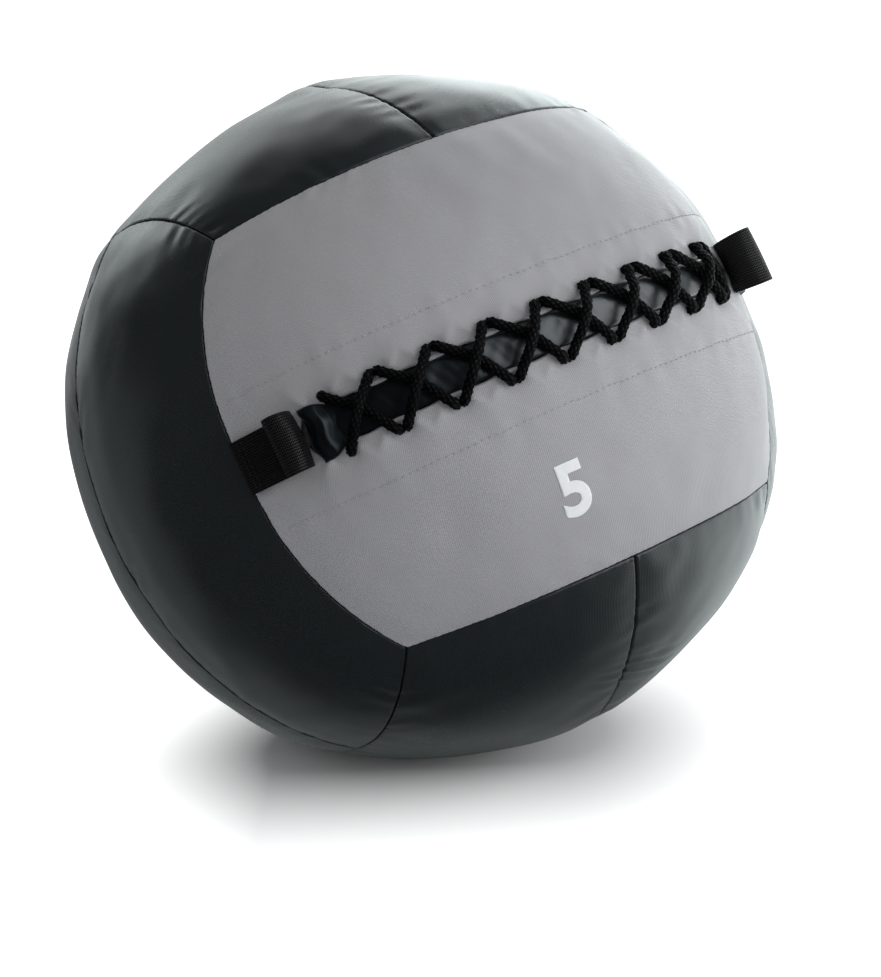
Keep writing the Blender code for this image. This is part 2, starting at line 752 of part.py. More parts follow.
def add_core(bag_material, sand_material, parts, cutters, parent):
    """The weight: a bag of sand, gathered shut at a small mouth."""
    work = bmesh.new()
    bmesh.ops.create_uvsphere(work, u_segments=CORE_SEGMENTS, v_segments=CORE_RINGS, radius=CORE_RADIUS)
    ring_angle = math.pi / CORE_RINGS
    pole = [vertex for vertex in work.verts if vertex.co.z > CORE_RADIUS * math.cos(ring_angle / 2)]
    bmesh.ops.delete(work, geom=pole, context="VERTS")
    under_neck = CORE_RADIUS * math.cos(ring_angle * 3 / 2)
    neck = [vertex for vertex in work.verts if vertex.co.z > under_neck]
    crown = Vector((0.0, 0.0, CORE_RADIUS))
    for vertex in neck:
        reach = math.hypot(vertex.co.x, vertex.co.y)
        vertex.co = crown.lerp(vertex.co, CORE_MOUTH_RADIUS / reach)
    face_outwards(work)
    bag = add_object("weight_bag", finish_mesh(work, "weight_bag"), bag_material, parts, parent)
    add_wall(bag, CORE_WALL)
    sand_radius = CORE_RADIUS - CORE_WALL - SAND_SLACK
    sand = add_ball_solid("sand_fill", sand_radius, sand_material, parts, parent)
    return bag, sand


def build():
    clear_scene()
    parts = make_collection("wall_ball")
    cutters = make_collection("cutters")
    grey_vinyl = make_material("grey_vinyl", (0.29, 0.29, 0.31), 0.45)
    black_vinyl = make_material("black_vinyl", (0.012, 0.015, 0.017), 0.38)
    gloss_vinyl = make_material("gloss_vinyl", (0.010, 0.012, 0.014), 0.22)
    cord = make_material("black_cord", (0.006, 0.006, 0.007), 0.85)
    webbing = make_material("black_webbing", (0.008, 0.008, 0.009), 0.80)
    lining = make_material("liner_cloth", (0.55, 0.55, 0.53), 0.80)
    fibre = make_material("fibre_padding", (0.75, 0.73, 0.68), 0.95)
    canvas = make_material("weight_bag_canvas", (0.45, 0.41, 0.33), 0.85)
    sand = make_material("sand", (0.42, 0.33, 0.22), 0.95)

    ball = add_empty("ball_attitude", parts)
    ball.location = (0.0, 0.0, CENTRE_HEIGHT)
    ball.rotation_mode = "QUATERNION"
    ball.rotation_quaternion = ATTITUDE.to_quaternion()

    holes = {side: add_hole_cutters(name, side, cutters, ball)
             for side, name in ((-1, "lower_hole_cutters"), (1, "upper_hole_cutters"))}
    for name, half in half_faces():
        panel = add_panel(name, half, grey_vinyl if half.slit else black_vinyl, parts, ball)
        if half.slit:
            side = 1 if half.across.z > 0 else -1
            facing_name = "upper_slit_facing" if side > 0 else "lower_slit_facing"
            facing = add_facing(facing_name, half, black_vinyl, parts, ball)
            add_cut(panel, holes[side])
            add_cut(facing, holes[side])
    add_lace(cord, parts, ball)
    add_tongue(gloss_vinyl, parts, ball)
    add_webbing_loop("left_webbing_loop", LEFT_WEB_LOOP_PLACE, webbing, parts, ball)
    add_webbing_loop("right_webbing_loop", RIGHT_WEB_LOOP_PLACE, webbing, parts, ball)
    add_liner(lining, parts, ball)
    add_padding(fibre, parts, cutters, ball)
    add_core(canvas, sand, parts, cutters, ball)


build()
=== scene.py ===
"""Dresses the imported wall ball: sewn vinyl skin, laced slit, tongue, webbing loops and filling.

The ball's own axes are X along the slit, -Y out of the grey face and Z up across the slit.
Lengths are metres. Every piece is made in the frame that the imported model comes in.
"""
import functools
import json
import math

import bmesh
import bpy
import numpy as np
from bpy.props import FloatProperty, FloatVectorProperty, IntProperty, PointerProperty
from mathutils import Matrix, Vector
from mathutils.kdtree import KDTree

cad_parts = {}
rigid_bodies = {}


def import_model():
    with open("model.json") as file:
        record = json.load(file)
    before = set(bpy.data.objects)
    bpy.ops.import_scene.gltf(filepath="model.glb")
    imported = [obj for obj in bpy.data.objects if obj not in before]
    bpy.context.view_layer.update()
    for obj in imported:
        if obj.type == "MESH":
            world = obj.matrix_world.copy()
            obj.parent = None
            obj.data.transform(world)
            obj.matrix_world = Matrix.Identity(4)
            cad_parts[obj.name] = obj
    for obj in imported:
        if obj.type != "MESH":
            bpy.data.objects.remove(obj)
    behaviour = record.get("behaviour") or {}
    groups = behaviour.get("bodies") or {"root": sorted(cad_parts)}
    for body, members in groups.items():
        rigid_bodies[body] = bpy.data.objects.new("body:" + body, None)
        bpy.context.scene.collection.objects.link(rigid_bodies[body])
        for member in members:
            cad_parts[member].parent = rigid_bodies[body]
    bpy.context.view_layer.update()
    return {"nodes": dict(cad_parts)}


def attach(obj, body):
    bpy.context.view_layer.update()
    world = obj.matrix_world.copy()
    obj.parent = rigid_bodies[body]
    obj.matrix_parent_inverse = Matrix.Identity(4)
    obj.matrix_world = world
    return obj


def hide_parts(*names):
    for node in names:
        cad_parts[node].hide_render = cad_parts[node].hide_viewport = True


bl_info = {
    "name": "Wall ball",
    "version": (1, 0, 0),
    "blender": (4, 5, 0),
    "location": "3D View > Sidebar > Wall ball",
    "description": "Makes the skin, lace, tongue, webbing and filling of a laced wall ball",
    "category": "Add Mesh",
}

for leftover in list(bpy.data.objects):
    bpy.data.objects.remove(leftover, do_unlink=True)
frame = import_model()
TURN = 2.0 * math.pi

# The ball and how it lies, as the solids have it
BALL_RADIUS = 0.175
FACE_LIFT = math.radians(25.81)
SLIT_ROLL = math.radians(15.74)
CORNER_SWELL = 0.0041
SWELL_MEAN_SHARE = 0.6
END_DRAW = 0.0045
END_DRAW_REACH = 0.040
SPREAD_SHARE = 0.006
SLUMP_SHARE = 0.0294
FOOT_DEPTH = 0.005
FOOT_EASE = 0.002
SKIN_WALL = 0.0012
FIT_GAP = 0.0003
SEAM_ALLOWANCE = 0.0035
LONG_SEAM_ANGLE = math.radians(37.1)
CENTRE_HEIGHT = BALL_RADIUS * (1.0 - SLUMP_SHARE) - FOOT_DEPTH
BALL_CENTRE = (0.0, 0.0, CENTRE_HEIGHT)
SEAM_HALF_LENGTH = BALL_RADIUS * (math.pi / 2 - LONG_SEAM_ANGLE)
HALF_FACE_WIDTH = BALL_RADIUS * LONG_SEAM_ANGLE
ATTITUDE = np.array(Matrix.Rotation(-FACE_LIFT, 3, "X") @ Matrix.Rotation(-SLIT_ROLL, 3, "Y"))

# The seams, and the valley that the grey face's right seam lies in: its depth, reach and plane, how far up
# and down it goes and over what share of the ball it fades
SEAM_DIP = 0.0007
SEAM_EASE = 0.0072
RIGHT_SEAM_DRAW = 0.0034
RIGHT_SEAM_REACH = 0.0200
RIGHT_SEAM_NORMAL = (0.1164, 0.9932, 0.0)
RIGHT_SEAM_PLANE = 0.5063
RIGHT_SEAM_END = 0.62
RIGHT_SEAM_FADE = 0.25

# Where the filling has settled or drawn away: azimuth and elevation in degrees, reach and height of the skin
SETTLED = (
    (-20.0, 50.0, 0.22, -0.0026),
    (21.0, 82.0, 0.24, -0.0042),
    (140.0, 71.0, 0.13, 0.0036),
    (154.0, 47.0, 0.20, -0.0022),
    (158.0, 29.0, 0.14, 0.0028),
    (171.0, -17.0, 0.35, -0.0013),
    (-157.0, -58.0, 0.20, 0.0016),
    (-63.0, -53.0, 0.28, 0.0036),
    (-31.0, 10.0, 0.26, -0.0022),
    (-40.0, -21.0, 0.20, 0.0010),
    (-140.0, 4.0, 0.13, -0.0006),
)
SETTLED_REACH_SHARE = 1.0 / 1.2
SETTLED_DEPTH = 0.0060

# The slit and its lace holes
SLIT_HALF_WIDTH = 0.0090
SLIT_ENDS = ((-0.1315, -0.1210), (0.1165, 0.1265))
SLIT_SCALLOP = 0.0005
HEM_TURN = 0.0030
FACING_UNDERSIDE = -0.0027
LACE_PAIRS = 9
LACE_PITCH = 0.0262
LACE_SHIFT = -0.0076
LACE_ROW = 0.0137
LACED_DEPTH = -0.0009
PAIR_HALF = 0.00285

# The stretched vinyl round the lace holes: the holes' uneven pull, the dimple at each hole, the furrow that
# runs outwards from it, and the ridge on each side as shares of the furrow's depth, width and width
HOLE_PULLS = (0.55, 1.25)
DIMPLE_DEPTH = 0.0011
DIMPLE_REACH = 0.0034
FURROW_DEPTH = 0.00150
FURROW_START = 0.004
FURROW_REACH = 0.0085
FURROW_HALF_WIDTH = 0.0030
FURROW_FAN_SHARE = 0.35
RIDGE_SHARES = (0.75, 2.4, 0.8)

# The two rows of stitches beside the slit: place across it, seed of the puckers, and the shapes they press
STITCH_PITCH = 0.0034
THREAD_RADIUS = 0.00028
STITCH_ROWS = {"upper_stitch_row": (0.0300, 61), "lower_stitch_row": (-0.0325, 62)}
ROW_DEPTH = 0.00022
ROW_REACH = 0.0011
ROW_PUCKER = 0.00016
ROW_PUCKER_LENGTHS = (0.007, 0.018)
ROW_PUCKER_REACH = 0.0060
ROW_LENGTH_SHARE = 0.95
ROW_WANDER = 0.00025
ROW_WANDER_LENGTHS = (0.01, 0.03)
STITCH_HALF_SHARE = 0.36
THREAD_SUNK_SHARE = 0.55

# Threads in the seams: how far from a seam's end, to each side of it and down in its groove
SEAM_THREAD_MARGIN = 0.004
SEAM_THREAD_HALF = 0.0011
SEAM_THREAD_DEPTH_SHARE = 0.92

# Folds beside a seam. Shortest and longest of the folds, of the patches that they come in, of the long folds
# and of the stitches' unevenness, then where folds and stitches lie off the seam and how far they reach
FOLD_LENGTHS = (0.009, 0.024)
PATCH_LENGTHS = (0.045, 0.11)
LONG_FOLD_LENGTHS = (0.020, 0.050)
JITTER_LENGTHS = (0.005, 0.012)
STITCH_JITTER = 0.0006
FOLD_OFF = 0.0050
FOLD_REACH = 0.0060
LONG_FOLD_REACH = 0.019
PULL_OFF = 0.0006
PULL_REACH = 0.0014

# Folds that the skin makes where the ball's weight squeezes it: the panel, where the folds are along and
# across it, their heading, their number, spacing, length and height
FLOOR_FOLDS = (
    ("bottom_right_panel", 0.258, 0.080, 62.0, 3, 0.0072, 0.018, 0.0008),
    ("bottom_left_panel", 0.245, 0.045, -58.0, 3, 0.0075, 0.014, 0.0004),
)

# Broad lumps of the stuffed skin: seed, shortest and longest, then the smaller ones on them
BROAD_LUMPS = (11, 0.075, 0.16)
SMALL_LUMPS = (12, 0.028, 0.05)
SMALL_LUMP_SHARE = 0.35

# How far apart a panel's points lie, nearest and furthest, how fast the gaps grow in between, and the places
# across the panel round which they lie close
PLAIN_GRID = {"columns": (0.0004, 0.0017, 1.3), "rows": (0.0003, 0.0024, 1.28), "marks": ()}
LACED_GRID = {"columns": (0.0004, 0.0013, 1.3), "rows": (0.0003, 0.0022, 1.22),
              "marks": (0.0050, 0.0100, 0.0215, 0.0235)}

# The cloth simulation of the skin, and how much of it is used
CLOTH_FRAMES = 20
CLOTH_SETTINGS = {
    "quality": 6,
    "mass": 0.4,
    "tension_stiffness": 40.0,
    "compression_stiffness": 40.0,
    "shear_stiffness": 20.0,
    "bending_stiffness": 0.8,
    "use_pressure": True,
    "uniform_pressure_force": 4.0,
    "vertex_group_mass": "sewn",
    "shrink_min": -0.030,
}
CLOTH_PINNED = 0.0045
FACED_HALF_WIDTH = 0.0150
CLOTH_BLUR = 0.016
CLOTH_BROAD_SHARE = 0.20
CLOTH_BROAD_FADE = 0.030
CLOTH_GATHER_SHARE = 0.42
CLOTH_GATHER_FADE = 0.012
CLOTH_LIMIT = 0.0020
CLOTH_NEIGHBOURS = 20
CLOTH_READ_REACH = 0.0065
CLOTH_BATCHES = 16

# The numeral: place along and across the slit, how much bolder than the font, its cap height as a share of
# the font's size, the cuts that let it bend, and the film's gap and thickness
NUMERAL_PLACE = (-0.0258, -0.0690)
NUMERAL_BOLDER = 0.0011
CAP_HEIGHT_SHARE = 0.72
NUMERAL_CUT = 0.0016
FILM_GAP = 0.00006
FILM_WALL = 0.00014

# The tongue, its crown across the slit and the fine shape of the part that shows. A wave has its slant, its
# seed, its shortest and longest, and its share of the height
TONGUE_WALL = 0.0015
TONGUE_HALF_WIDTH = 0.0242
TONGUE_ENDS = (-0.1230, 0.1210)
TONGUE_CLEARANCE = 0.0006
TONGUE_WING_MARGIN = 0.0026
CROWN_PLACES = (0.0, 0.0050, 0.0070, 0.0084, 0.0094)
CROWN_HEIGHTS = (-0.0004, -0.0005, -0.0007, -0.0012, -0.0034)
CREASED_HALF_WIDTH = 0.0075
CREASED_FROM = -0.1165
CREASED_EASE = 0.004
CREASE_HEIGHT = 0.00016
CREASE_WAVES = ((0.55, 31, 0.005, 0.014, 1.0), (-0.8, 32, 0.006, 0.02, 0.7))
PLEAT_HEIGHT = 0.00005
PLEAT_WAVE = (0.35, 33, 0.0016, 0.0034)
CALM_SHARE = 0.65
CALM_FROM = -0.02
CALM_EASE = 0.06
SWELL_HEIGHT = 0.0007
SWELL_HALF_WIDTH = 0.0060
TONGUE_TOP = 0.0001

# The tongue's crumpled end: where it starts and how long it is, half its width there and what it gains, and
# its height along its middle
FLAP_START = -0.1040
FLAP_LENGTH = 0.0185
FLAP_WAVE = 0.0012
FLAP_HALF_WIDTHS = (0.0078, 0.0052)
FLAP_SHIFT = 0.0006
FLAP_RISE_SHARES = (0.0, 0.25, 0.42, 0.60, 0.80, 0.94, 1.0)
FLAP_RISES = (-0.0022, -0.0008, 0.0006, 0.0034, 0.0042, 0.0027, 0.0009)
FLAP_OVER_HEM = 0.0009
FLAP_FOLDS = (0.0005, 0.0004)
FLAP_HEM_MARGIN = 0.001
FLAP_LEAST_OVER_HEM = 0.00035
FLAP_LEAST_IN_SLIT = -0.0026
FLAP_WALL = 0.0010

# The lace's route
LACE_SQUEEZE = 0.00060
LACE_LOWER_SHIFT = 0.0015
LACE_BEND = 0.0028
LACE_BOW = 0.0022
LACE_UNDER_ROOM = 0.0013
LACE_CROSSING_GAP = 0.0007
LACE_HUMP_FLAT = 0.0030
LACE_HUMP_REACH = 0.0120
LACE_TAIL = 0.0140
LACE_WELD = 0.00002
STRAND_STEPS = 26
BEND_STEPS = 6
UNDER_STEPS = 10
LACE_EASING_ROUNDS = 6

# The webbing loops and their stitches
WEB_WIDTH = 0.0250
WEB_WALL = 0.0013
WEB_LOOP_WIDTH = 0.0120
WEB_LOOP_HEIGHT = 0.0180
WEB_LOOP_PLACES = {"left_webbing_loop": -0.1300, "right_webbing_loop": 0.1215}
WEB_LEANS = {"left_webbing_loop": 0.0, "right_webbing_loop": 0.20}
WEB_LEAN_FROM = 0.002
WEB_ROOT_MARGIN = 0.0015
WEB_BULGE = 0.0012
WEB_STITCH_ROWS = (0.004, 0.0065)
WEB_LAST_ROW_SHARE = 0.35
WEB_STITCH_MARGIN = 0.002
WEB_STITCH_PITCH = 0.0028
WEB_STITCH_LENGTH = 0.0020
WEB_THREAD_LIFT = 0.00005

# The copies of the filling's solids: points nearer than this are one, and longer edges are divided
COPY_WELD = 0.00001
COPY_LONGEST_EDGE = 0.006
COPY_LUMPS = (77, 0.012, 0.04)

# The camera, which stands where the photograph was taken from
CAMERA_AZIMUTH = math.radians(-23.706)
CAMERA_ELEVATION = math.radians(15.0)
CAMERA_DISTANCE = 1.0614
CAMERA_SIDE = 0.00921
CAMERA_LIFT = -0.03657
CAMERA_LENS = 77.98
CAMERA_SENSOR = 36.0

# The room: lamps as places to the camera's right, up and towards the camera from the ball, and their widths
LAMPS = {"key": (1.10, 0.50, 0.68, 1.4), "rim": (1.30, 0.15, -0.50, 0.9), "top": (-0.25, 0.90, -1.00, 0.9)}
GLOSS_TINT = (0.92, 1.0, 1.0)
FLOOR_SIZE = 14.0
FLOOR_DROP = 0.0002


class SkinSettings(bpy.types.PropertyGroup):
    """Sizes and colours of the sewn vinyl skin."""
    groove: FloatProperty(name="Seam roll", default=0.0013, min=0.0004, max=0.004, unit="LENGTH",
                          description="Radius of the vinyl's edge where it turns into a seam")
    pucker: FloatProperty(name="Pucker height", default=0.00026, min=0.0, max=0.002, unit="LENGTH",
                          description="Height of the small folds beside a seam")
    lump: FloatProperty(name="Lump height", default=0.00040, min=0.0, max=0.003, unit="LENGTH",
                        description="Height of the broad unevenness of the stuffed skin")
    grey: FloatVectorProperty(name="Grey vinyl", description="Colour of the two laced panels",
                              subtype="COLOR", size=3, min=0.0, max=1.0, default=(0.312, 0.311, 0.328))
    black: FloatVectorProperty(name="Black vinyl", description="Colour of the ten plain panels",
                               subtype="COLOR", size=3, min=0.0, max=1.0, default=(0.0140, 0.0176, 0.0190))
    numeral_height: FloatProperty(name="Numeral height", description="Height of the printed numeral",
                                  default=0.0245, min=0.01, max=0.06, unit="LENGTH")


class LaceSettings(bpy.types.PropertyGroup):
    """Sizes and colour of the braided lace."""
    diameter: FloatProperty(name="Diameter", description="Diameter of the braided cord over its strands",
                            default=0.0046, min=0.002, max=0.006, unit="LENGTH")
    strands: IntProperty(name="Strands", description="Strands that the braid turns each way", default=6,
                         min=3, max=12)
    sides: IntProperty(name="Sides", description="Points round the cord", default=40, min=12, max=48)
    step: FloatProperty(name="Step", description="Distance between two rings of points along the cord",
                        default=0.00046, min=0.0002, max=0.002, unit="LENGTH")
    colour: FloatVectorProperty(name="Lace", description="Colour of the cord", subtype="COLOR", size=3,
                                min=0.0, max=1.0, default=(0.0022, 0.0024, 0.0028))


class TrimSettings(bpy.types.PropertyGroup):
    """Colours of the tongue and the webbing, and the pitch of the weave."""
    tongue: FloatVectorProperty(name="Tongue", description="Colour of the glossy tongue", subtype="COLOR",
                                size=3, min=0.0, max=1.0, default=(0.0040, 0.0052, 0.0064))
    webbing: FloatVectorProperty(name="Webbing", description="Colour of the webbing loops", subtype="COLOR",
                                 size=3, min=0.0, max=1.0, default=(0.0048, 0.0046, 0.0052))
    rib: FloatProperty(name="Rib pitch", description="Distance between two ribs of the webbing",
                       default=0.0013, min=0.0005, max=0.004, unit="LENGTH")


class StudioSettings(bpy.types.PropertyGroup):
    """Floor, lamps and world."""
    floor: FloatVectorProperty(name="Floor", description="Colour of the floor", subtype="COLOR", size=3,
                               min=0.0, max=1.0, default=(0.80, 0.81, 0.82))
    key: FloatProperty(name="Key lamp", description="Power of the large lamp on the right in watts",
                       default=9.7, min=0.0, max=200.0)
    top: FloatProperty(name="Top lamp", description="Power of the lamp overhead in watts", default=1.1,
                       min=0.0, max=200.0)
    rim: FloatProperty(name="Rim lamp", description="Power of the lamp behind on the right in watts",
                       default=4.0, min=0.0, max=200.0)
    room: FloatProperty(name="Room light", description="Strength of the even light from all round",
                        default=0.66, min=0.0, max=2.0)
    wall: FloatProperty(name="Far wall", description="Strength of the bright wall that the gloss mirrors",
                        default=1.00, min=0.0, max=4.0)


# Shape

def unit(rows):
    return rows / np.linalg.norm(rows, axis=-1, keepdims=True)


def smooth_step(values):
    values = np.clip(values, 0.0, 1.0)
    return values * values * (3.0 - 2.0 * values)


def bell(values, reach):
    return np.exp(-(values / reach) ** 2)


def ripple(place, seed, shortest, longest, waves=6):
    """An uneven wave along a line, between about -1 and 1."""
    draw = np.random.default_rng(seed)
    total = np.zeros_like(place)
    for _ in range(waves):
        length, phase = draw.uniform(shortest, longest), draw.uniform(0.0, TURN)
        total += np.sin(TURN * place / length + phase)
    return total / math.sqrt(waves)


def lumps(places, seed, shortest, longest, waves=9):
    """An uneven wave through space, between about -1 and 1."""
    draw = np.random.default_rng(seed)
    total = np.zeros(len(places))
    for _ in range(waves):
        heading = unit(draw.normal(size=3)) / draw.uniform(shortest, longest)
        total += np.sin(TURN * (places @ heading) + draw.uniform(0.0, TURN))
    return total / math.sqrt(waves)


def travelled(line):
    """The distance along a line at each of its points."""
    return np.concatenate([[0.0], np.cumsum(np.linalg.norm(np.diff(line, axis=0), axis=1))])


def read_line(line, travel, stops):
    """The places on a line at these distances along it."""
    return np.stack([np.interp(stops, travel, part) for part in line.T], axis=-1)


def skin_radius(directions):
    """The filled skin is fuller at the faces' corners, and drawn in where the slit's ends are sewn."""
    x, y, z = (directions ** 2).T
    radius = BALL_RADIUS + CORNER_SWELL * (3.0 * (x * y + y * z + z * x) - SWELL_MEAN_SHARE)
    for side in (-1, 1):
        end = np.array((side * math.cos(LONG_SEAM_ANGLE), -math.sin(LONG_SEAM_ANGLE), 0.0))
        away = np.linalg.norm(directions - end, axis=1) * BALL_RADIUS / END_DRAW_REACH
        radius -= END_DRAW * np.exp(-away * away)
    return radius


def right_seam_height(levels):
    """The seam at the grey face's right end lies in a valley, so that the panel beyond it shows."""
    directions = levels @ ATTITUDE
    off_plane = directions @ unit(np.array(RIGHT_SEAM_NORMAL)) + RIGHT_SEAM_PLANE
    gap = off_plane * BALL_RADIUS / math.sqrt(1.0 - RIGHT_SEAM_PLANE ** 2)
    along = smooth_step((RIGHT_SEAM_END - np.abs(directions[:, 2])) / RIGHT_SEAM_FADE)
    return -RIGHT_SEAM_DRAW * bell(gap, RIGHT_SEAM_REACH) * (along * (directions[:, 0] > 0.0))


def settled_height(levels):
    total = right_seam_height(levels)
    for azimuth, elevation, reach, height in SETTLED:
        turn, rise = math.radians(azimuth), math.radians(elevation)
        toward = (math.cos(turn) * math.cos(rise), math.sin(turn) * math.cos(rise), math.sin(rise))
        away = np.linalg.norm(levels - toward, axis=1)
        total += height * bell(away, reach * SETTLED_REACH_SHARE)
    return total


def settle(directions, height):
    """Places, in the frame, of points this far over the skin, once the ball has slumped."""
    levels = directions @ ATTITUDE.T
    radius = skin_radius(directions)
    world = levels * (radius + height + settled_height(levels))[:, None]
    world[:, :2] *= 1.0 + SPREAD_SHARE
    world[:, 2] *= 1.0 - SLUMP_SHARE
    above = levels[:, 2] * radius * (1.0 - SLUMP_SHARE) + CENTRE_HEIGHT
    eased = (above + FOOT_EASE) ** 2 / (4.0 * FOOT_EASE) - above
    world[:, 2] += np.where(above <= -FOOT_EASE, -above, np.where(above >= FOOT_EASE, 0.0, eased))
    world[:, 2] = np.maximum(world[:, 2] + CENTRE_HEIGHT, 0.0)
    return world


def slit_directions(along, across):
    longitude, latitude = along / BALL_RADIUS, across / BALL_RADIUS
    level = np.cos(latitude)
    return np.stack([np.sin(longitude) * level, -np.cos(longitude) * level, np.sin(latitude)], axis=-1)


def slit_places(directions):
    """Places along and across the slit of directions on the laced face."""
    along = np.arctan2(directions[..., 0], -directions[..., 1]) * BALL_RADIUS
    return along, np.arcsin(np.clip(directions[..., 2], -1.0, 1.0)) * BALL_RADIUS


def crease(gaps):
    """How far stitching draws the skin in, by the distances to the seams around."""
    free = 1.0
    for gap in gaps:
        free = free * (1.0 - bell(gap, SEAM_EASE))
    return -SEAM_DIP * (1.0 - free)


def slit_points(along, across, height):
    """Points over or under the grey skin, which dips to the seams at the slit's ends."""
    parts = (np.asarray(part, float) for part in (along, across, height))
    along, across, height = np.broadcast_arrays(*parts)
    return settle(slit_directions(along, across), height + crease([SEAM_HALF_LENGTH - np.abs(along)]))


def arc_through(start, middle, end):
    """The circle through three directions, as a function of shares from 0 at start to 1 at end."""
    axis = unit(np.cross(middle - start, end - start))
    centre = axis * (axis @ start)
    arm, last = start - centre, end - centre
    side = np.cross(axis, arm)
    turn = math.atan2(last @ side, last @ arm) % TURN

    def at(shares):
        angle = np.atleast_1d(shares)[:, None] * turn
        return centre + arm * np.cos(angle) + side * np.sin(angle)
    return at


def slit_half_width(along):
    """Half the gap between the two hems, drawn in a little at each lace place."""
    scallop = SLIT_SCALLOP * np.cos(TURN * (along - LACE_SHIFT) / LACE_PITCH)
    return FIT_GAP / 2 + (SLIT_HALF_WIDTH - scallop - FIT_GAP / 2) * slit_opening(along)


def slit_opening(along):
    (left_closed, left_open), (right_open, right_closed) = SLIT_ENDS
    opening = smooth_step((along - left_closed) / (left_open - left_closed))
    return opening * smooth_step((right_closed - along) / (right_closed - right_open))


def open_share(along):
    """1 where the slit is fully open, 0 where its hems meet."""
    return smooth_step(slit_half_width(along) / SLIT_HALF_WIDTH)


class HalfFace:
    """Half of one of the ball's six faces: s along the split, t from the split to the long seam."""

    def __init__(self, outward, along, across, slit=False):
        sine, cosine = math.sin(LONG_SEAM_ANGLE), math.cos(LONG_SEAM_ANGLE)
        self.outward, self.along, self.across, self.slit = outward, along, across, slit
        corners = {(i, j): unit(outward + i * along + j * across) for i in (-1, 1) for j in (-1, 1)}
        ends = {i: outward * sine + i * along * cosine for i in (-1, 1)}
        self.long_arc = arc_through(corners[-1, 1], outward * cosine + across * sine, corners[1, 1])
        self.end_arcs = {i: arc_through(corners[i, -1], ends[i], corners[i, 1]) for i in (-1, 1)}
        chord = np.linalg.norm(corners[1, 1] - corners[-1, 1])
        self.long_seam_length = BALL_RADIUS * 2 * math.asin(chord / 2)

    def split_edge(self, s):
        place = (2.0 * np.atleast_1d(s) - 1.0) * SEAM_HALF_LENGTH
        if self.slit:
            return slit_directions(place, slit_half_width(place) * math.copysign(1.0, self.across[2]))
        angle = place[:, None] / BALL_RADIUS
        return self.outward * np.cos(angle) + self.along * np.sin(angle)

    def directions(self, s, t):
        """A blend of the patch's four edges, brought back to the ball."""
        near, far = self.end_arcs[-1]((1.0 + t) / 2), self.end_arcs[1]((1.0 + t) / 2)
        split, long_seam = self.split_edge(s), self.long_arc(s)
        ends = {share: (self.split_edge(share), self.long_arc(share)) for share in (0.0, 1.0)}
        s, t = s[:, None], t[:, None]
        corners = ((1 - s) * ((1 - t) * ends[0.0][0] + t * ends[0.0][1])
                   + s * ((1 - t) * ends[1.0][0] + t * ends[1.0][1]))
        return unit((1 - t) * split + t * long_seam + (1 - s) * near + s * far - corners)

    def length_at(self, t):
        return 2.0 * SEAM_HALF_LENGTH * (1.0 - t) + self.long_seam_length * t


X, Y, Z = np.eye(3)
FACES = (
    (-Y, X, Z, ("grey_lower_panel", "grey_upper_panel")),
    (Y, X, Z, ("back_lower_panel", "back_upper_panel")),
    (-X, Z, Y, ("left_front_panel", "left_rear_panel")),
    (X, Z, Y, ("right_front_panel", "right_rear_panel")),
    (Z, Y, X, ("top_left_panel", "top_right_panel")),
    (-Z, Y, X, ("bottom_left_panel", "bottom_right_panel")),
)


def half_faces():
    for face, (outward, along, across, names) in enumerate(FACES):
        for sign, name in zip((-1, 1), names):
            yield name, HalfFace(outward, along, across * sign, slit=face == 0)


def lace_places():
    return (np.arange(LACE_PAIRS) - (LACE_PAIRS - 1) / 2) * LACE_PITCH + LACE_SHIFT


def rolled_edge(gap, roll):
    """Height of an edge that rolls in, this far from where it ends."""
    inside = np.clip(roll - gap, 0.0, roll)
    return -(roll - np.sqrt(roll * roll - inside * inside))


def seam_relief(gap, along, seed, settings):
    """The vinyl beside one seam: its edge rolls in, stitches pull it down and small folds leave it."""
    folds = ripple(along, seed, *FOLD_LENGTHS) * bell(gap - FOLD_OFF, FOLD_REACH)
    patches = 0.15 + 0.85 * smooth_step(0.4 + 0.7 * ripple(along, seed + 1, *PATCH_LENGTHS))
    long_folds = np.maximum(ripple(along, seed + 2, *LONG_FOLD_LENGTHS), 0.0) * bell(gap, LONG_FOLD_REACH)
    jitter = along + STITCH_JITTER * ripple(along, seed + 3, *JITTER_LENGTHS)
    pulls = (0.5 + 0.5 * np.cos(TURN * jitter / STITCH_PITCH)) ** 2 * bell(gap - PULL_OFF, PULL_REACH)
    puckers = folds * patches + 0.7 * long_folds * patches - 0.95 * pulls
    return rolled_edge(gap, settings.groove) + settings.pucker * puckers


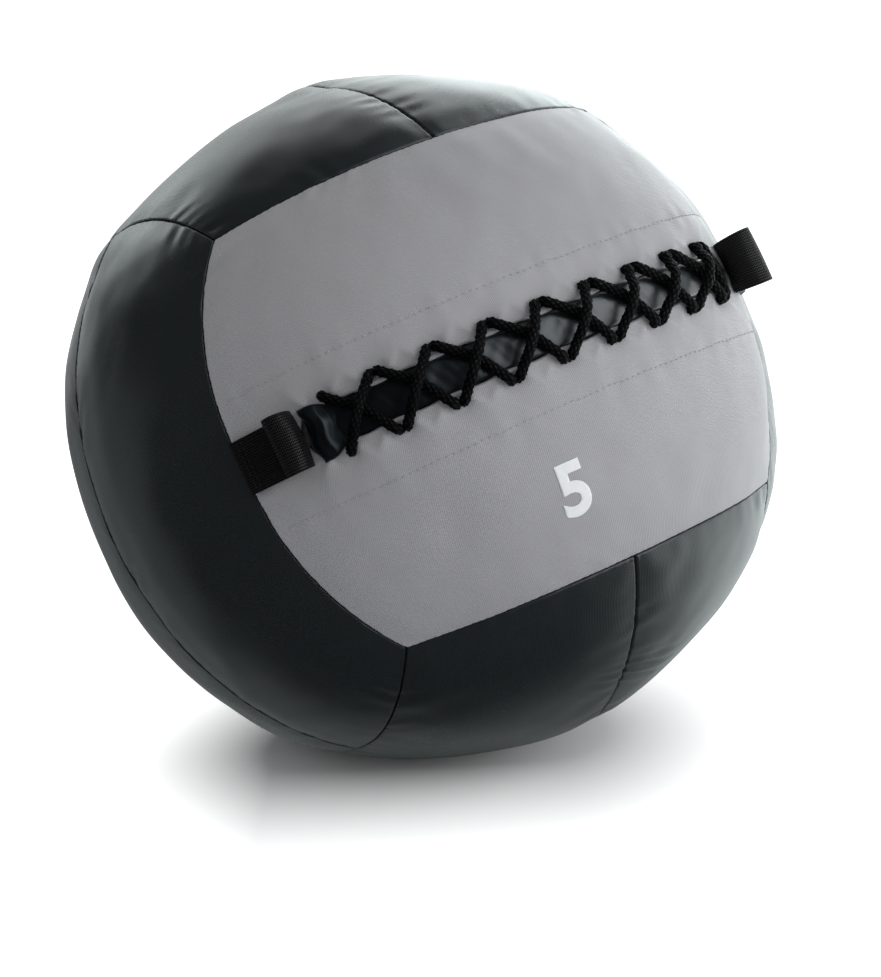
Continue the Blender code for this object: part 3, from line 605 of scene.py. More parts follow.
def laced_relief(along, across):
    """The grey vinyl round the lace holes and along the two rows of stitches."""
    places = lace_places()
    order = np.abs(along[:, None] - places).argmin(axis=1)
    pull = np.random.default_rng(5).uniform(*HOLE_PULLS, LACE_PAIRS)[order]
    beside = along - places[order]
    beyond = np.abs(across) - LACE_ROW
    hole = np.hypot(np.abs(beside) - PAIR_HALF, beyond)
    outward = smooth_step((beyond + FURROW_START) / FURROW_START)
    outward = outward * np.exp(-np.maximum(beyond, 0.0) / FURROW_REACH)
    fan = FURROW_HALF_WIDTH + FURROW_FAN_SHARE * np.maximum(beyond, 0.0)
    ridge, ridge_place, ridge_width = RIDGE_SHARES
    furrow = -bell(beside, fan) + ridge * bell(np.abs(beside) - ridge_place * fan, ridge_width * fan)
    stretched = FURROW_DEPTH * outward * furrow - DIMPLE_DEPTH * bell(hole, DIMPLE_REACH)
    height = np.maximum(open_share(along) * pull * stretched, LACED_DEPTH)
    for row, seed in STITCH_ROWS.values():
        off = across - row
        height += -ROW_DEPTH * bell(off, ROW_REACH) * (0.6 + 0.4 * np.cos(TURN * along / STITCH_PITCH))
        height += ROW_PUCKER * ripple(along, seed, *ROW_PUCKER_LENGTHS) * bell(off, ROW_PUCKER_REACH)
    return height


def fold_relief(name, half, s, t):
    height = np.zeros(len(s))
    for panel, middle, off, heading, count, spacing, length, rise in FLOOR_FOLDS:
        if panel != name:
            continue
        along = (s - middle) * half.length_at(t)
        across = (t - off) * HALF_FACE_WIDTH
        turn = math.radians(heading)
        down = along * math.cos(turn) + across * math.sin(turn)
        over = -along * math.sin(turn) + across * math.cos(turn)
        fan = 1.0 + 0.25 * down / length
        wave = np.cos(TURN * over / (spacing * fan) + 0.8 * np.sin(down / length * 2.0))
        height += rise * wave * bell(over, spacing * count / 2) * bell(down, length)
    return height


def skin_height(name, half, s, t, directions, settings):
    """Height of a panel's outer side over the plain ball."""
    seed = 100 * (1 + [panel for panel, _ in half_faces()].index(name))
    length = half.length_at(t)
    across = t * HALF_FACE_WIDTH
    seams = [((1.0 - t) * HALF_FACE_WIDTH, s * length), (s * length, across), ((1.0 - s) * length, across)]
    if not half.slit:
        seams.append((across, s * length))
    height = crease([gap for gap, _ in seams])
    for number, (gap, run) in enumerate(seams):
        height += seam_relief(gap, run, seed + 10 * number, settings)
    if half.slit:
        height += rolled_edge(across, settings.groove)
        height += laced_relief(*slit_places(directions))
    height += fold_relief(name, half, s, t)
    return height + broad_relief(directions, settings)


def broad_relief(directions, settings):
    """The skin's broad unevenness, with what the simulation gives."""
    places = directions * BALL_RADIUS
    uneven = lumps(places, *BROAD_LUMPS) + SMALL_LUMP_SHARE * lumps(places, *SMALL_LUMPS)
    return settings.lump * uneven + cloth_height(directions)


# The skin's cloth: how far the stuffed vinyl stands from the plain shape between its seams

def seam_directions():
    """Directions along every seam and both hems, a few millimetres apart."""
    shares = np.linspace(0.0, 1.0, 120)
    return np.concatenate([edge(shares) for _, half in half_faces()
                           for edge in (half.long_arc, half.split_edge)])


def facing_gap(directions):
    """How far points lie outside the laced strip, which the facings stiffen."""
    along, across = slit_places(directions)
    beyond = np.maximum(np.abs(across) - FACED_HALF_WIDTH, 0.0)
    on_face = (directions[:, 1] < 0.0) & (np.abs(along) < SEAM_HALF_LENGTH)
    return np.where(on_face, beyond, BALL_RADIUS)


def in_batches(function, rows):
    return np.concatenate([function(part) for part in np.array_split(rows, CLOTH_BATCHES)])


def stuffed_skin():
    """Sews a ball of cloth at the seams, blows it up and returns where it went."""
    work = bmesh.new()
    bmesh.ops.create_icosphere(work, subdivisions=6, radius=1.0)
    mesh = new_mesh("skin_cloth", work)
    directions = unit(vectors(mesh.vertices))
    start = settle(directions, np.zeros(len(directions)))
    set_places(mesh, start)
    cloth = linked("skin_cloth", mesh)
    seams = seam_directions()
    nearest = in_batches(lambda part: (part @ seams.T).max(axis=1), directions)
    gap = np.minimum(np.arccos(np.clip(nearest, -1.0, 1.0)) * BALL_RADIUS, facing_gap(directions))
    sewn = cloth.vertex_groups.new(name="sewn")
    sewn.add([int(index) for index in np.flatnonzero(gap < CLOTH_PINNED)], 1.0, "REPLACE")
    setup = cloth.modifiers.new("cloth", "CLOTH")
    for key, value in CLOTH_SETTINGS.items():
        setattr(setup.settings, key, value)
    setup.settings.effector_weights.gravity = 0.0
    setup.collision_settings.use_collision = False
    for number in range(1, CLOTH_FRAMES + 1):
        bpy.context.scene.frame_set(number)
    bpy.context.view_layer.objects.active = cloth
    with bpy.context.temp_override(object=cloth, active_object=cloth):
        bpy.ops.object.modifier_apply(modifier="cloth")
    places = vectors(cloth.data.vertices)
    bpy.context.scene.frame_set(1)
    bpy.data.objects.remove(cloth)
    return directions, ((places - start) * unit(start - BALL_CENTRE)).sum(axis=1), gap


@functools.cache
def skin_cloth():
    directions, heights, gap = stuffed_skin()

    def averaged(part):
        spread = (2.0 - 2.0 * (part @ directions.T)) * (BALL_RADIUS / CLOTH_BLUR) ** 2
        weights = np.exp(-spread)
        return weights @ heights / weights.sum(axis=1)

    broad = in_batches(averaged, directions)
    puffed = (broad - broad.mean()) * CLOTH_BROAD_SHARE * smooth_step(gap / CLOTH_BROAD_FADE)
    gathers = np.clip(heights - broad, -CLOTH_LIMIT, CLOTH_LIMIT) * CLOTH_GATHER_SHARE
    tree = KDTree(len(directions))
    for index, direction in enumerate(directions):
        tree.insert(direction, index)
    tree.balance()
    return tree, gathers * smooth_step(gap / CLOTH_GATHER_FADE) + puffed


def cloth_height(directions):
    if skin_cloth() is None:
        return np.zeros(len(directions))
    tree, heights = skin_cloth()
    found = np.array([[(index, away) for _, index, away in tree.find_n(direction, CLOTH_NEIGHBOURS)]
                      for direction in directions])
    weights = bell(found[..., 1] * BALL_RADIUS, CLOTH_READ_REACH)
    return (heights[found[..., 0].astype(int)] * weights).sum(axis=1) / weights.sum(axis=1)


# Meshes and objects

def spaced(length, near, far, growth, marks=()):
    """Places along a length: close together near both ends and round each mark, wider between."""
    tiny = 1e-9
    stops = [0.0, *marks, length]
    places = [0.0]
    while places[-1] < length - tiny:
        here = places[-1]
        away = min(abs(here - stop) for stop in stops)
        ahead = min((stop - here for stop in stops if stop - here > tiny), default=length)
        step = min(max(near, away * (growth - 1.0)), far)
        step = min(step, max(near, (ahead + near) * (growth - 1.0)))
        places.append(min(here + step, length))
    if places[-1] - places[-2] < near / 2:
        del places[-2]
    return np.array(places) / length


def share_grid(columns, rows, turned=0.0, hem_turned=None):
    """A grid that keeps each point's column, row and depth. Its rim is turned in by a further row."""
    work = bmesh.new()
    column, row, depth = (work.verts.layers.float.new(name) for name in ("column", "row", "depth"))
    bmesh.ops.create_grid(work, x_segments=len(columns) - 1, y_segments=len(rows) - 1, size=1.0)
    for vertex in work.verts:
        vertex[column] = columns[round((vertex.co.x + 1.0) / 2.0 * (len(columns) - 1))]
        vertex[row] = rows[round((vertex.co.y + 1.0) / 2.0 * (len(rows) - 1))]
    if turned:
        rim = [edge for edge in work.edges if edge.is_boundary]
        for element in bmesh.ops.extrude_edge_only(work, edges=rim)["geom"]:
            if isinstance(element, bmesh.types.BMVert):
                hem = hem_turned is not None and element[row] == rows[0]
                element[depth] = hem_turned if hem else turned
    return work


def new_mesh(name, work):
    mesh = bpy.data.meshes.new(name)
    work.to_mesh(mesh)
    work.free()
    return mesh


def linked(name, data):
    """A new object that is in the scene."""
    made = bpy.data.objects.new(name, data)
    bpy.context.scene.collection.objects.link(made)
    return made


def read(mesh, *names):
    """The values that a grid's points keep, for each of these names."""
    for name in names:
        values = np.zeros(len(mesh.vertices), np.float32)
        mesh.attributes[name].data.foreach_get("value", values)
        yield values.astype(float)


def vectors(items, field="co"):
    """One vector of each of a mesh's items, as rows."""
    values = np.zeros(len(items) * 3, np.float32)
    items.foreach_get(field, values)
    return values.reshape(-1, 3).astype(float)


def set_places(mesh, places):
    mesh.vertices.foreach_set("co", np.asarray(places, np.float32).ravel())
    mesh.update()


def keep_cloth(mesh, along, across, third=None):
    """Writes each point's place on the cloth, in metres, for the weave in its material."""
    third = np.zeros_like(along) if third is None else third
    values = np.stack([along, across, third], axis=-1).astype(np.float32)
    layer = mesh.attributes.new("cloth", "FLOAT_VECTOR", "POINT")
    layer.data.foreach_set("vector", values.ravel())


def face_outwards(mesh):
    """Turns the faces over if they look towards the ball's centre."""
    areas = np.zeros(len(mesh.polygons))
    mesh.polygons.foreach_get("area", areas)
    arms = vectors(mesh.polygons, "center") - BALL_CENTRE
    looks = (vectors(mesh.polygons, "normal") * arms).sum(axis=1)
    if (looks * areas).sum() < 0.0:
        mesh.flip_normals()


def add_piece(name, mesh, material, body="ball", node=None, sharp=60.0):
    piece = linked(name, mesh)
    mesh.materials.append(material)
    mesh.shade_smooth()
    if sharp:
        mesh.set_sharp_from_angle(angle=math.radians(sharp))
    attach(piece, body)
    if node:
        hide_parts(node)
    return piece


def add_wall(piece, thickness, offset=-1.0):
    wall = piece.modifiers.new("wall", "SOLIDIFY")
    wall.thickness = thickness
    wall.offset = offset
    wall.use_rim = True


# Materials

class Signal:
    """A number or colour that runs through a material, which Python's operators work on."""

    def __init__(self, paint, socket):
        self.paint, self.socket = paint, socket

    def __add__(self, other):
        return self.paint.math("ADD", self, other)

    def __sub__(self, other):
        return self.paint.math("SUBTRACT", self, other)

    def __rsub__(self, other):
        return self.paint.math("SUBTRACT", other, self)

    def __mul__(self, other):
        return self.paint.math("MULTIPLY", self, other)

    def __pow__(self, other):
        return self.paint.math("POWER", self, other)

    def __abs__(self):
        return self.paint.math("ABSOLUTE", self)

    __radd__, __rmul__ = __add__, __mul__

    def wave(self):
        return self.paint.math("SINE", self)

    def most(self, other):
        return self.paint.math("MAXIMUM", self, other)

    def held(self):
        return self.paint.node("ShaderNodeClamp", {}, {0: self}).out()


class Made:
    """A node that has been made, with its outputs as signals."""

    def __init__(self, paint, node):
        self.paint, self.node = paint, node

    def out(self, key=0):
        return Signal(self.paint, self.node.outputs[key])


class Paint:
    """Builds the nodes of one material, or of the world."""

    def __init__(self, name, kind="materials"):
        self.look = getattr(bpy.data, kind).new(name)
        self.look.use_nodes = True
        self.tree = self.look.node_tree

    def node(self, kind, settings, values):
        """Makes a node, sets it up, then fills its sockets with numbers or signals."""
        made = self.tree.nodes.new(kind)
        for key, value in settings.items():
            setattr(made, key, value)
        for key, value in values.items():
            self.fill(made.inputs[key], value)
        return Made(self, made)

    def fill(self, socket, value):
        if isinstance(value, Signal):
            self.tree.links.new(value.socket, socket)
        else:
            socket.default_value = as_colour(value) if socket.type == "RGBA" else value

    def set(self, node="Principled BSDF", **values):
        """Fills sockets of the surface, or of another node, named with underscores for spaces."""
        for key, value in values.items():
            self.fill(self.tree.nodes[node].inputs[key.replace("_", " ")], value)

    def math(self, operation, first, second=0.0):
        return self.node("ShaderNodeMath", {"operation": operation}, {0: first, 1: second}).out()

    def mix(self, share, first, second):
        """One colour into another."""
        return self.node("ShaderNodeMix", {"data_type": "RGBA"}, {0: share, 6: first, 7: second}).out(2)

    def toward(self, vector, direction):
        values = {0: vector, 1: tuple(direction)}
        return self.node("ShaderNodeVectorMath", {"operation": "DOT_PRODUCT"}, values).out("Value")

    def place(self, kind="Object"):
        """The point on the object, or for the world its heading."""
        return self.node("ShaderNodeTexCoord", {}, {}).out(kind)

    def noise(self, scale, detail=2.0, roughness=0.5):
        values = {"Vector": self.place(), "Scale": scale, "Detail": detail, "Roughness": roughness}
        return self.node("ShaderNodeTexNoise", {}, values).out(0)

    def cloth(self):
        """The point's place along and across the cloth, in metres, and what else it keeps."""
        source = self.node("ShaderNodeAttribute", {"attribute_name": "cloth"}, {}).out("Vector")
        parts = self.node("ShaderNodeSeparateXYZ", {}, {0: source})
        return parts.out(0), parts.out(1), parts.out(2)

    def bump(self, height, distance, strength=1.0):
        values = {"Height": height, "Distance": distance, "Strength": strength}
        return self.node("ShaderNodeBump", {}, values).out()

    def glow(self, colour, strength):
        return self.node("ShaderNodeEmission", {}, {"Color": colour, "Strength": strength}).out()

    def rays(self):
        """Whether the camera sees the point, and whether a gloss mirrors it."""
        rays = self.node("ShaderNodeLightPath", {}, {})
        return rays.out("Is Camera Ray"), rays.out("Is Glossy Ray")


def as_colour(value):
    return (*value, 1.0) if len(value) == 3 else value


def scaled(colour, factor):
    return tuple(min(1.0, part * factor) for part in colour)


def vinyl(name, colour, roughness, emboss=0.00006, shine=0.5, pitch=0.00165):
    """Coated cloth: a fine slanting emboss, slight mottling and handling marks."""
    paint = Paint(name)
    along, across, _ = paint.cloth()
    lattice = ((along + across) * (TURN / pitch)).wave() * ((along - across) * (TURN / pitch)).wave()
    pores = paint.noise(1500.0, 2.0)
    grain = paint.noise(420.0, 3.0, 0.6)
    clouds = paint.noise(9.0, 3.0, 0.55)
    marks = paint.noise(38.0, 4.0, 0.65)
    tone = paint.mix((clouds - 0.35) * 1.6, scaled(colour, 0.93), scaled(colour, 1.07))
    handled = ((marks - 0.56) * 5.0).held() * 0.12
    paint.set(Base_Color=paint.mix(handled, tone, scaled(colour, 1.16)),
              Roughness=(clouds * 0.10 + grain * 0.06 + (roughness - 0.08)).held(),
              Normal=paint.bump(lattice * 0.6 + pores * 0.012 + grain * 0.05, emboss),
              Specular_IOR_Level=shine)
    return paint.look


def cord_material(name, colour, fibre_pitch=0.00042):
    """Twisted yarn: fine fibres that lie along each strand, with painted highlight on the braid's crowns and
    painted shade in its hollows.
    """
    paint = Paint(name)
    along, around, crown = paint.cloth()
    fibres = ((along * 0.6 + around) * (TURN / fibre_pitch)).wave()
    fuzz = paint.noise(2600.0, 3.0, 0.7)
    # Painted highlight and shade: the colour runs from a fifth of the lace's colour in the braid's hollows
    # to more than twice it on the crowns.
    tone = paint.mix((crown * 0.8 + (fuzz - 0.5) * 0.8).held(), scaled(colour, 0.2), scaled(colour, 2.4))
    glint = ((crown - 0.66) * 2.6).held() * ((fuzz - 0.48) * 6.0).held()
    paint.set(Base_Color=tone, Roughness=(fuzz * 0.20 + 0.40).held(), Coat_Weight=glint,
              Normal=paint.bump(fibres * 0.4 + fuzz, 0.00016, 0.9),
              Specular_IOR_Level=0.07, Coat_Roughness=0.30, Coat_IOR=1.6)
    return paint.look


def webbing_material(name, colour, rib):
    """Flat woven webbing: ribs across the strap, each a row of small raised yarns, with painted highlight on
    the yarns' crests and painted shade between them.
    """
    paint = Paint(name)
    along, across, _ = paint.cloth()
    ribs = (along * (TURN / rib)).wave()
    beads = (across * (TURN / (rib * 0.9)) + ribs * 0.9).wave()
    fuzz = paint.noise(2400.0, 3.0, 0.7)
    weave = abs(ribs) * 0.6 + (beads * 0.5 + 0.5) * 0.7
    crest = (weave * 0.8).held() ** 4.0
    # Painted highlight and shade: the colour runs from about a third of the webbing's colour between the
    # yarns to five times it on their crests.
    tone = paint.mix((crest + (fuzz - 0.5) * 0.3).held(), scaled(colour, 0.35), scaled(colour, 5.0))
    paint.set(Base_Color=tone, Roughness=(fuzz * 0.2 + 0.38).held(), Coat_Weight=crest * 0.42,
              Normal=paint.bump(weave + fuzz * 0.25, 0.00060),
              Specular_IOR_Level=0.10, Coat_Roughness=0.28, Coat_IOR=1.6)
    return paint.look


def tongue_material(name, colour):
    """Patent vinyl: smooth and glossy, with fine creases and a dull bloom in places."""
    paint = Paint(name)
    along, _, _ = paint.cloth()
    worn = ((along + 0.085) * 9.0).held()
    creases = paint.noise(150.0, 4.0, 0.6)
    bloom = paint.noise(60.0, 3.0, 0.5)
    paint.set(Base_Color=paint.mix((bloom - 0.35) * 1.5, scaled(colour, 0.8), scaled(colour, 1.5)),
              Roughness=(bloom * 0.16 + 0.26 + worn * 0.10).held(), Coat_Weight=worn * 0.95,
              Normal=paint.bump(creases, 0.0002, 0.6), Specular_IOR_Level=0.42,
              Specular_Tint=(0.78, 0.90, 1.0), Coat_Roughness=0.34, Coat_IOR=1.6)
    return paint.look


def plain_cloth(name, colour, pitch, roughness):
    """Plain-woven cloth or loose fibre on the object's own coordinates."""
    paint = Paint(name)
    fibre = paint.noise(1.0 / pitch, 4.0, 0.7)
    clouds = paint.noise(22.0, 3.0, 0.6)
    tone = paint.mix((fibre * 0.7 + clouds * 0.5 - 0.1).held(), scaled(colour, 0.72), scaled(colour, 1.15))
    paint.set(Base_Color=tone, Roughness=(fibre * 0.15 + roughness - 0.1).held(),
              Normal=paint.bump(fibre, pitch * 0.5, 0.8))
    return paint.look


def print_material(name):
    """Heat-set lettering film: matt white with a little wear."""
    paint = Paint(name)
    wear = paint.noise(300.0, 4.0, 0.7)
    paint.set(Base_Color=paint.mix(((wear - 0.4) * 1.5).held(), (0.72, 0.74, 0.76), (0.60, 0.62, 0.64)),
              Roughness=(wear * 0.2 + 0.38).held(), Normal=paint.bump(wear, 0.00005, 0.5))
    return paint.look


def thread_material(name, colour):
    paint = Paint(name)
    twist = paint.noise(1800.0, 2.0)
    paint.set(Base_Color=paint.mix(twist, scaled(colour, 0.6), scaled(colour, 1.4)),
              Roughness=(twist * 0.2 + 0.5).held(), Normal=paint.bump(twist, 0.0001, 0.8))
    return paint.look


def sand_material(name):
    paint = Paint(name)
    grains = paint.noise(900.0, 3.0, 0.7)
    paint.set(Base_Color=paint.mix(grains, (0.28, 0.21, 0.13), (0.56, 0.46, 0.32)), Roughness=0.95,
              Normal=paint.bump(grains, 0.0006))
    return paint.look


# Skin, stitches and numeral

class MakeSkin(bpy.types.Operator):
    """Makes the twelve stuffed vinyl panels"""
    bl_idname = "wall_ball.make_skin"
    bl_label = "Skin"

    def execute(self, context):
        skin = context.scene.wall_ball_skin
        grey = vinyl("grey_vinyl_look", skin.grey, 0.42, 0.00011, 0.45)
        black = vinyl("black_vinyl_look", skin.black, 0.29, 0.000045, 0.5)
        for name, half in half_faces():
            self.add_panel(name, half, grey if half.slit else black, skin)
        return {"FINISHED"}

    def add_panel(self, name, half, material, skin):
        grid = LACED_GRID if half.slit else PLAIN_GRID
        columns = spaced(2 * SEAM_HALF_LENGTH, *grid["columns"])
        rows = spaced(HALF_FACE_WIDTH, *grid["rows"], marks=grid["marks"])
        mesh = new_mesh(name, share_grid(columns, rows, SEAM_ALLOWANCE, HEM_TURN if half.slit else None))
        s, t, depth = read(mesh, "column", "row", "depth")
        side = FIT_GAP / 2 / half.length_at(t)
        far = FIT_GAP / 2 / HALF_FACE_WIDTH
        near = 0.0 if half.slit else far
        directions = half.directions(side + (1.0 - 2.0 * side) * s, near + (1.0 - near - far) * t)
        height = skin_height(name, half, s, t, directions, skin)
        set_places(mesh, settle(directions, height - depth))
        keep_cloth(mesh, (s - 0.5) * half.length_at(t), t * HALF_FACE_WIDTH + depth)
        face_outwards(mesh)
        piece = add_piece(name.replace("_panel", "_skin"), mesh, material, "ball",
                          name)
        add_wall(piece, SKIN_WALL)


def copied(mesh, count):
    """A mesh of this many copies of another, one after the other in the order of its points."""
    source = linked("copied", mesh)
    row = source.modifiers.new("row", "ARRAY")
    row.count = count
    row.use_merge_vertices = False
    made = bpy.data.meshes.new_from_object(source.evaluated_get(bpy.context.evaluated_depsgraph_get()))
    bpy.data.objects.remove(source)
    return made


def add_stitches(name, starts, ends, material):
    """One piece of many short threads, each a slim closed bead from a start to an end."""
    work = bmesh.new()
    bmesh.ops.create_uvsphere(work, u_segments=6, v_segments=4, radius=1.0)
    bead = new_mesh("bead", work)
    shape = vectors(bead.vertices)[None]
    mesh = copied(bead, len(starts))
    reach = (ends - starts) / 2
    heading = unit(reach)
    side = unit(np.cross(heading, (0.31, 0.52, 0.80)))
    rise = np.cross(heading, side)
    places = ((starts + ends) / 2)[:, None] + reach[:, None] * shape[..., 2:]
    places = places + THREAD_RADIUS * (side[:, None] * shape[..., :1] + rise[:, None] * shape[..., 1:2])
    set_places(mesh, places)
    return add_piece(name, mesh, material, sharp=None)


class MakeStitching(bpy.types.Operator):
    """Makes the rows of stitches and the threads in the seams"""
    bl_idname = "wall_ball.make_stitching"
    bl_label = "Stitching"

    def execute(self, context):
        skin = context.scene.wall_ball_skin
        grey = thread_material("grey_thread_look", (0.33, 0.33, 0.34))
        black = thread_material("black_thread_look", (0.010, 0.010, 0.011))
        for name, (across, _) in STITCH_ROWS.items():
            self.add_row(name, across, grey, skin)
        self.add_seam_threads(black, skin)
        return {"FINISHED"}

    def add_row(self, name, across, material, skin):
        reach = SEAM_HALF_LENGTH * ROW_LENGTH_SHARE
        centres = np.arange(-reach, reach, STITCH_PITCH)
        centres = np.round(centres / STITCH_PITCH) * STITCH_PITCH + STITCH_PITCH / 2
        wander = across + ROW_WANDER * ripple(centres, 9, *ROW_WANDER_LENGTHS)
        ends = []
        for shift in (-STITCH_HALF_SHARE, STITCH_HALF_SHARE):
            along = centres + shift * STITCH_PITCH
            height = laced_relief(along, wander) + broad_relief(slit_directions(along, wander), skin)
            ends.append(slit_points(along, wander, height + THREAD_RADIUS * THREAD_SUNK_SHARE))
        add_stitches(name, *ends, material)

    def add_seam_threads(self, material, skin):
        """Threads that cross each seam's groove, a stitch apart."""
        arcs = []
        for face, (outward, along, across, _) in enumerate(FACES):
            half = HalfFace(outward, along, across)
            arcs += [half.long_arc, HalfFace(outward, along, -across).long_arc]
            if face > 0:
                arcs.append(half.split_edge)
        starts, ends = [], []
        for arc in arcs:
            line = arc(np.linspace(0.0, 1.0, 400))
            travel = travelled(line)
            last = travel[-1] * BALL_RADIUS - SEAM_THREAD_MARGIN
            stops = np.arange(SEAM_THREAD_MARGIN, last, STITCH_PITCH) / BALL_RADIUS
            here = unit(read_line(line, travel, stops))
            ahead = unit(read_line(line, travel, stops + 0.001))
            reach = unit(np.cross(here, ahead - here)) * (SEAM_THREAD_HALF / BALL_RADIUS)
            depth = np.full(len(here), -SEAM_DIP - skin.groove * SEAM_THREAD_DEPTH_SHARE)
            starts.append(settle(unit(here - reach), depth))
            ends.append(settle(unit(here + reach), depth))
        add_stitches("seam_threads", np.concatenate(starts), np.concatenate(ends), material)


class MakeNumeral(bpy.types.Operator):
    """Makes the plain printed numeral on the lower grey panel"""
    bl_idname = "wall_ball.make_numeral"
    bl_label = "Numeral"

    def execute(self, context):
        skin = context.scene.wall_ball_skin
        mesh = new_mesh("printed_numeral", self.cut_numeral(skin.numeral_height))
        flat = vectors(mesh.vertices)
        middle = (flat.min(axis=0) + flat.max(axis=0)) / 2
        along = flat[:, 0] - middle[0] + NUMERAL_PLACE[0]
        across = flat[:, 1] - middle[1] + NUMERAL_PLACE[1]
        height = laced_relief(along, across) + broad_relief(slit_directions(along, across), skin)
        set_places(mesh, slit_points(along, across, height + FILM_GAP))
        face_outwards(mesh)
        piece = add_piece("printed_numeral", mesh, print_material("print_look"))
        add_wall(piece, FILM_WALL, offset=1.0)
        return {"FINISHED"}

    def cut_numeral(self, height):
        """The flat numeral, cut into small squares that can follow the ball."""
        text = bpy.data.curves.new("numeral", "FONT")
        text.body = "5"
        text.size = height / CAP_HEIGHT_SHARE
        text.offset = NUMERAL_BOLDER
        text.align_x = "CENTER"
        text.align_y = "CENTER"
        text.resolution_u = 8
        source = linked("numeral_text", text)
        work = bmesh.new()
        work.from_mesh(source.to_mesh())
        source.to_mesh_clear()
        bpy.data.objects.remove(source)
        for axis in range(2):
            for place in np.arange(-height, height, NUMERAL_CUT):
                point, normal = Vector(), Vector()
                point[axis], normal[axis] = place, 1.0
                bmesh.ops.bisect_plane(work, geom=work.verts[:] + work.edges[:] + work.faces[:],
                                       plane_co=point, plane_no=normal, dist=1e-7)
        return work


# The tongue

def tongue_height(along, across, underside):
    """The tongue's outer side: a crown that fills the slit, and wings that lie under the hems."""
    wing = underside - TONGUE_CLEARANCE
    beside = (*CROWN_PLACES, LACE_ROW - TONGUE_WING_MARGIN, TONGUE_HALF_WIDTH)
    filled = np.interp(np.abs(across), beside, (*CROWN_HEIGHTS, wing, wing))
    return wing + (filled - wing) * open_share(along)


class MakeTongue(bpy.types.Operator):
    """Makes the glossy tongue behind the slit and its crumpled end"""
    bl_idname = "wall_ball.make_tongue"
    bl_label = "Tongue"

    def execute(self, context):
        look = tongue_material("tongue_look", context.scene.wall_ball_trim.tongue)
        radius = context.scene.wall_ball_lace.diameter / 2
        underside = FACING_UNDERSIDE - LACE_UNDER_ROOM - PAIR_HALF - radius
        length = TONGUE_ENDS[1] - TONGUE_ENDS[0]
        mesh = new_mesh("tongue", share_grid(np.linspace(0.0, 1.0, 240), np.linspace(-1.0, 1.0, 49)))
        s, t = read(mesh, "column", "row")
        along = TONGUE_ENDS[0] + length * s
        across = TONGUE_HALF_WIDTH * t
        height = tongue_height(along, across, underside) + self.wrinkles(along, across)
        piece = self.add_sheet("tongue_sheet", mesh, along, across, np.minimum(height, TONGUE_TOP), look)
        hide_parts("tongue")
        add_wall(piece, TONGUE_WALL)
        self.add_flap(look)
        return {"FINISHED"}

    def wrinkles(self, along, across):
        """Creases, pleats and a swell between the lace places, on the part that shows in the slit."""
        inside = bell(across, CREASED_HALF_WIDTH) * smooth_step((along - CREASED_FROM) / CREASED_EASE)
        slant = sum(share * ripple(along + lean * across, seed, *lengths)
                    for lean, seed, *lengths, share in CREASE_WAVES)
        lean, seed, *lengths = PLEAT_WAVE
        pleats = ripple(along + lean * across, seed, *lengths)
        calm = 1.0 - CALM_SHARE * smooth_step((along - CALM_FROM) / CALM_EASE)
        between = np.sin(math.pi * (along - LACE_SHIFT) / LACE_PITCH) ** 2
        swell = SWELL_HEIGHT * bell(across, SWELL_HALF_WIDTH) * between
        return inside * (PLEAT_HEIGHT * pleats + calm * CREASE_HEIGHT * slant + swell)

    def add_sheet(self, name, mesh, along, across, height, look):
        set_places(mesh, slit_points(along, across, height))
        keep_cloth(mesh, along, across)
        face_outwards(mesh)
        return add_piece(name, mesh, look, "ball")

    def add_flap(self, look):
        """The tongue's left end, which comes out of the slit over the hems and ends in folds."""
        mesh = new_mesh("tongue_end", share_grid(np.linspace(0.0, 1.0, 48), np.linspace(-1.0, 1.0, 61)))
        p, q = read(mesh, "column", "row")
        along = FLAP_START - FLAP_LENGTH * p + FLAP_WAVE * np.sin(5.0 * q) * p
        half_width, widening = FLAP_HALF_WIDTHS
        across = q * (half_width + widening * smooth_step(p * 1.3)) - FLAP_SHIFT * p
        rise = np.interp(p, FLAP_RISE_SHARES, FLAP_RISES)
        over_hem = smooth_step((p - 0.25) / 0.3) * FLAP_OVER_HEM
        arch = np.maximum(1.0 - q * q, 0.0) ** 0.4
        folds = FLAP_FOLDS[0] * np.sin(4.2 * q + 5.0 * p + 0.4) + FLAP_FOLDS[1] * np.sin(2.4 * q - 9.0 * p)
        folds = folds * smooth_step(p * 1.6) * (0.25 + 0.75 * arch) * smooth_step((p - 0.2) / 0.4)
        height = over_hem + (rise - over_hem) * arch + folds
        beside_slit = np.abs(across) > SLIT_HALF_WIDTH - FLAP_HEM_MARGIN
        least = np.where(beside_slit, FLAP_LEAST_OVER_HEM, FLAP_LEAST_IN_SLIT)
        height = np.where(p > 0.3, np.maximum(height, least), height)
        add_wall(self.add_sheet("tongue_end", mesh, along, across, height, look), FLAP_WALL)


# The lace

def bend(start, end, centre_height, radius, steps, quarter):
    """Points of a bend that stands square to the skin, between two places on it."""
    heading = (end - start) / np.linalg.norm(end - start)
    angle = (math.pi / 2 if quarter else math.pi) * np.arange(steps + 1)[:, None] / steps
    rise = np.sin(angle) if quarter else -np.sin(angle)
    return np.hstack([start + heading * radius * (1 - np.cos(angle)), centre_height + radius * rise])


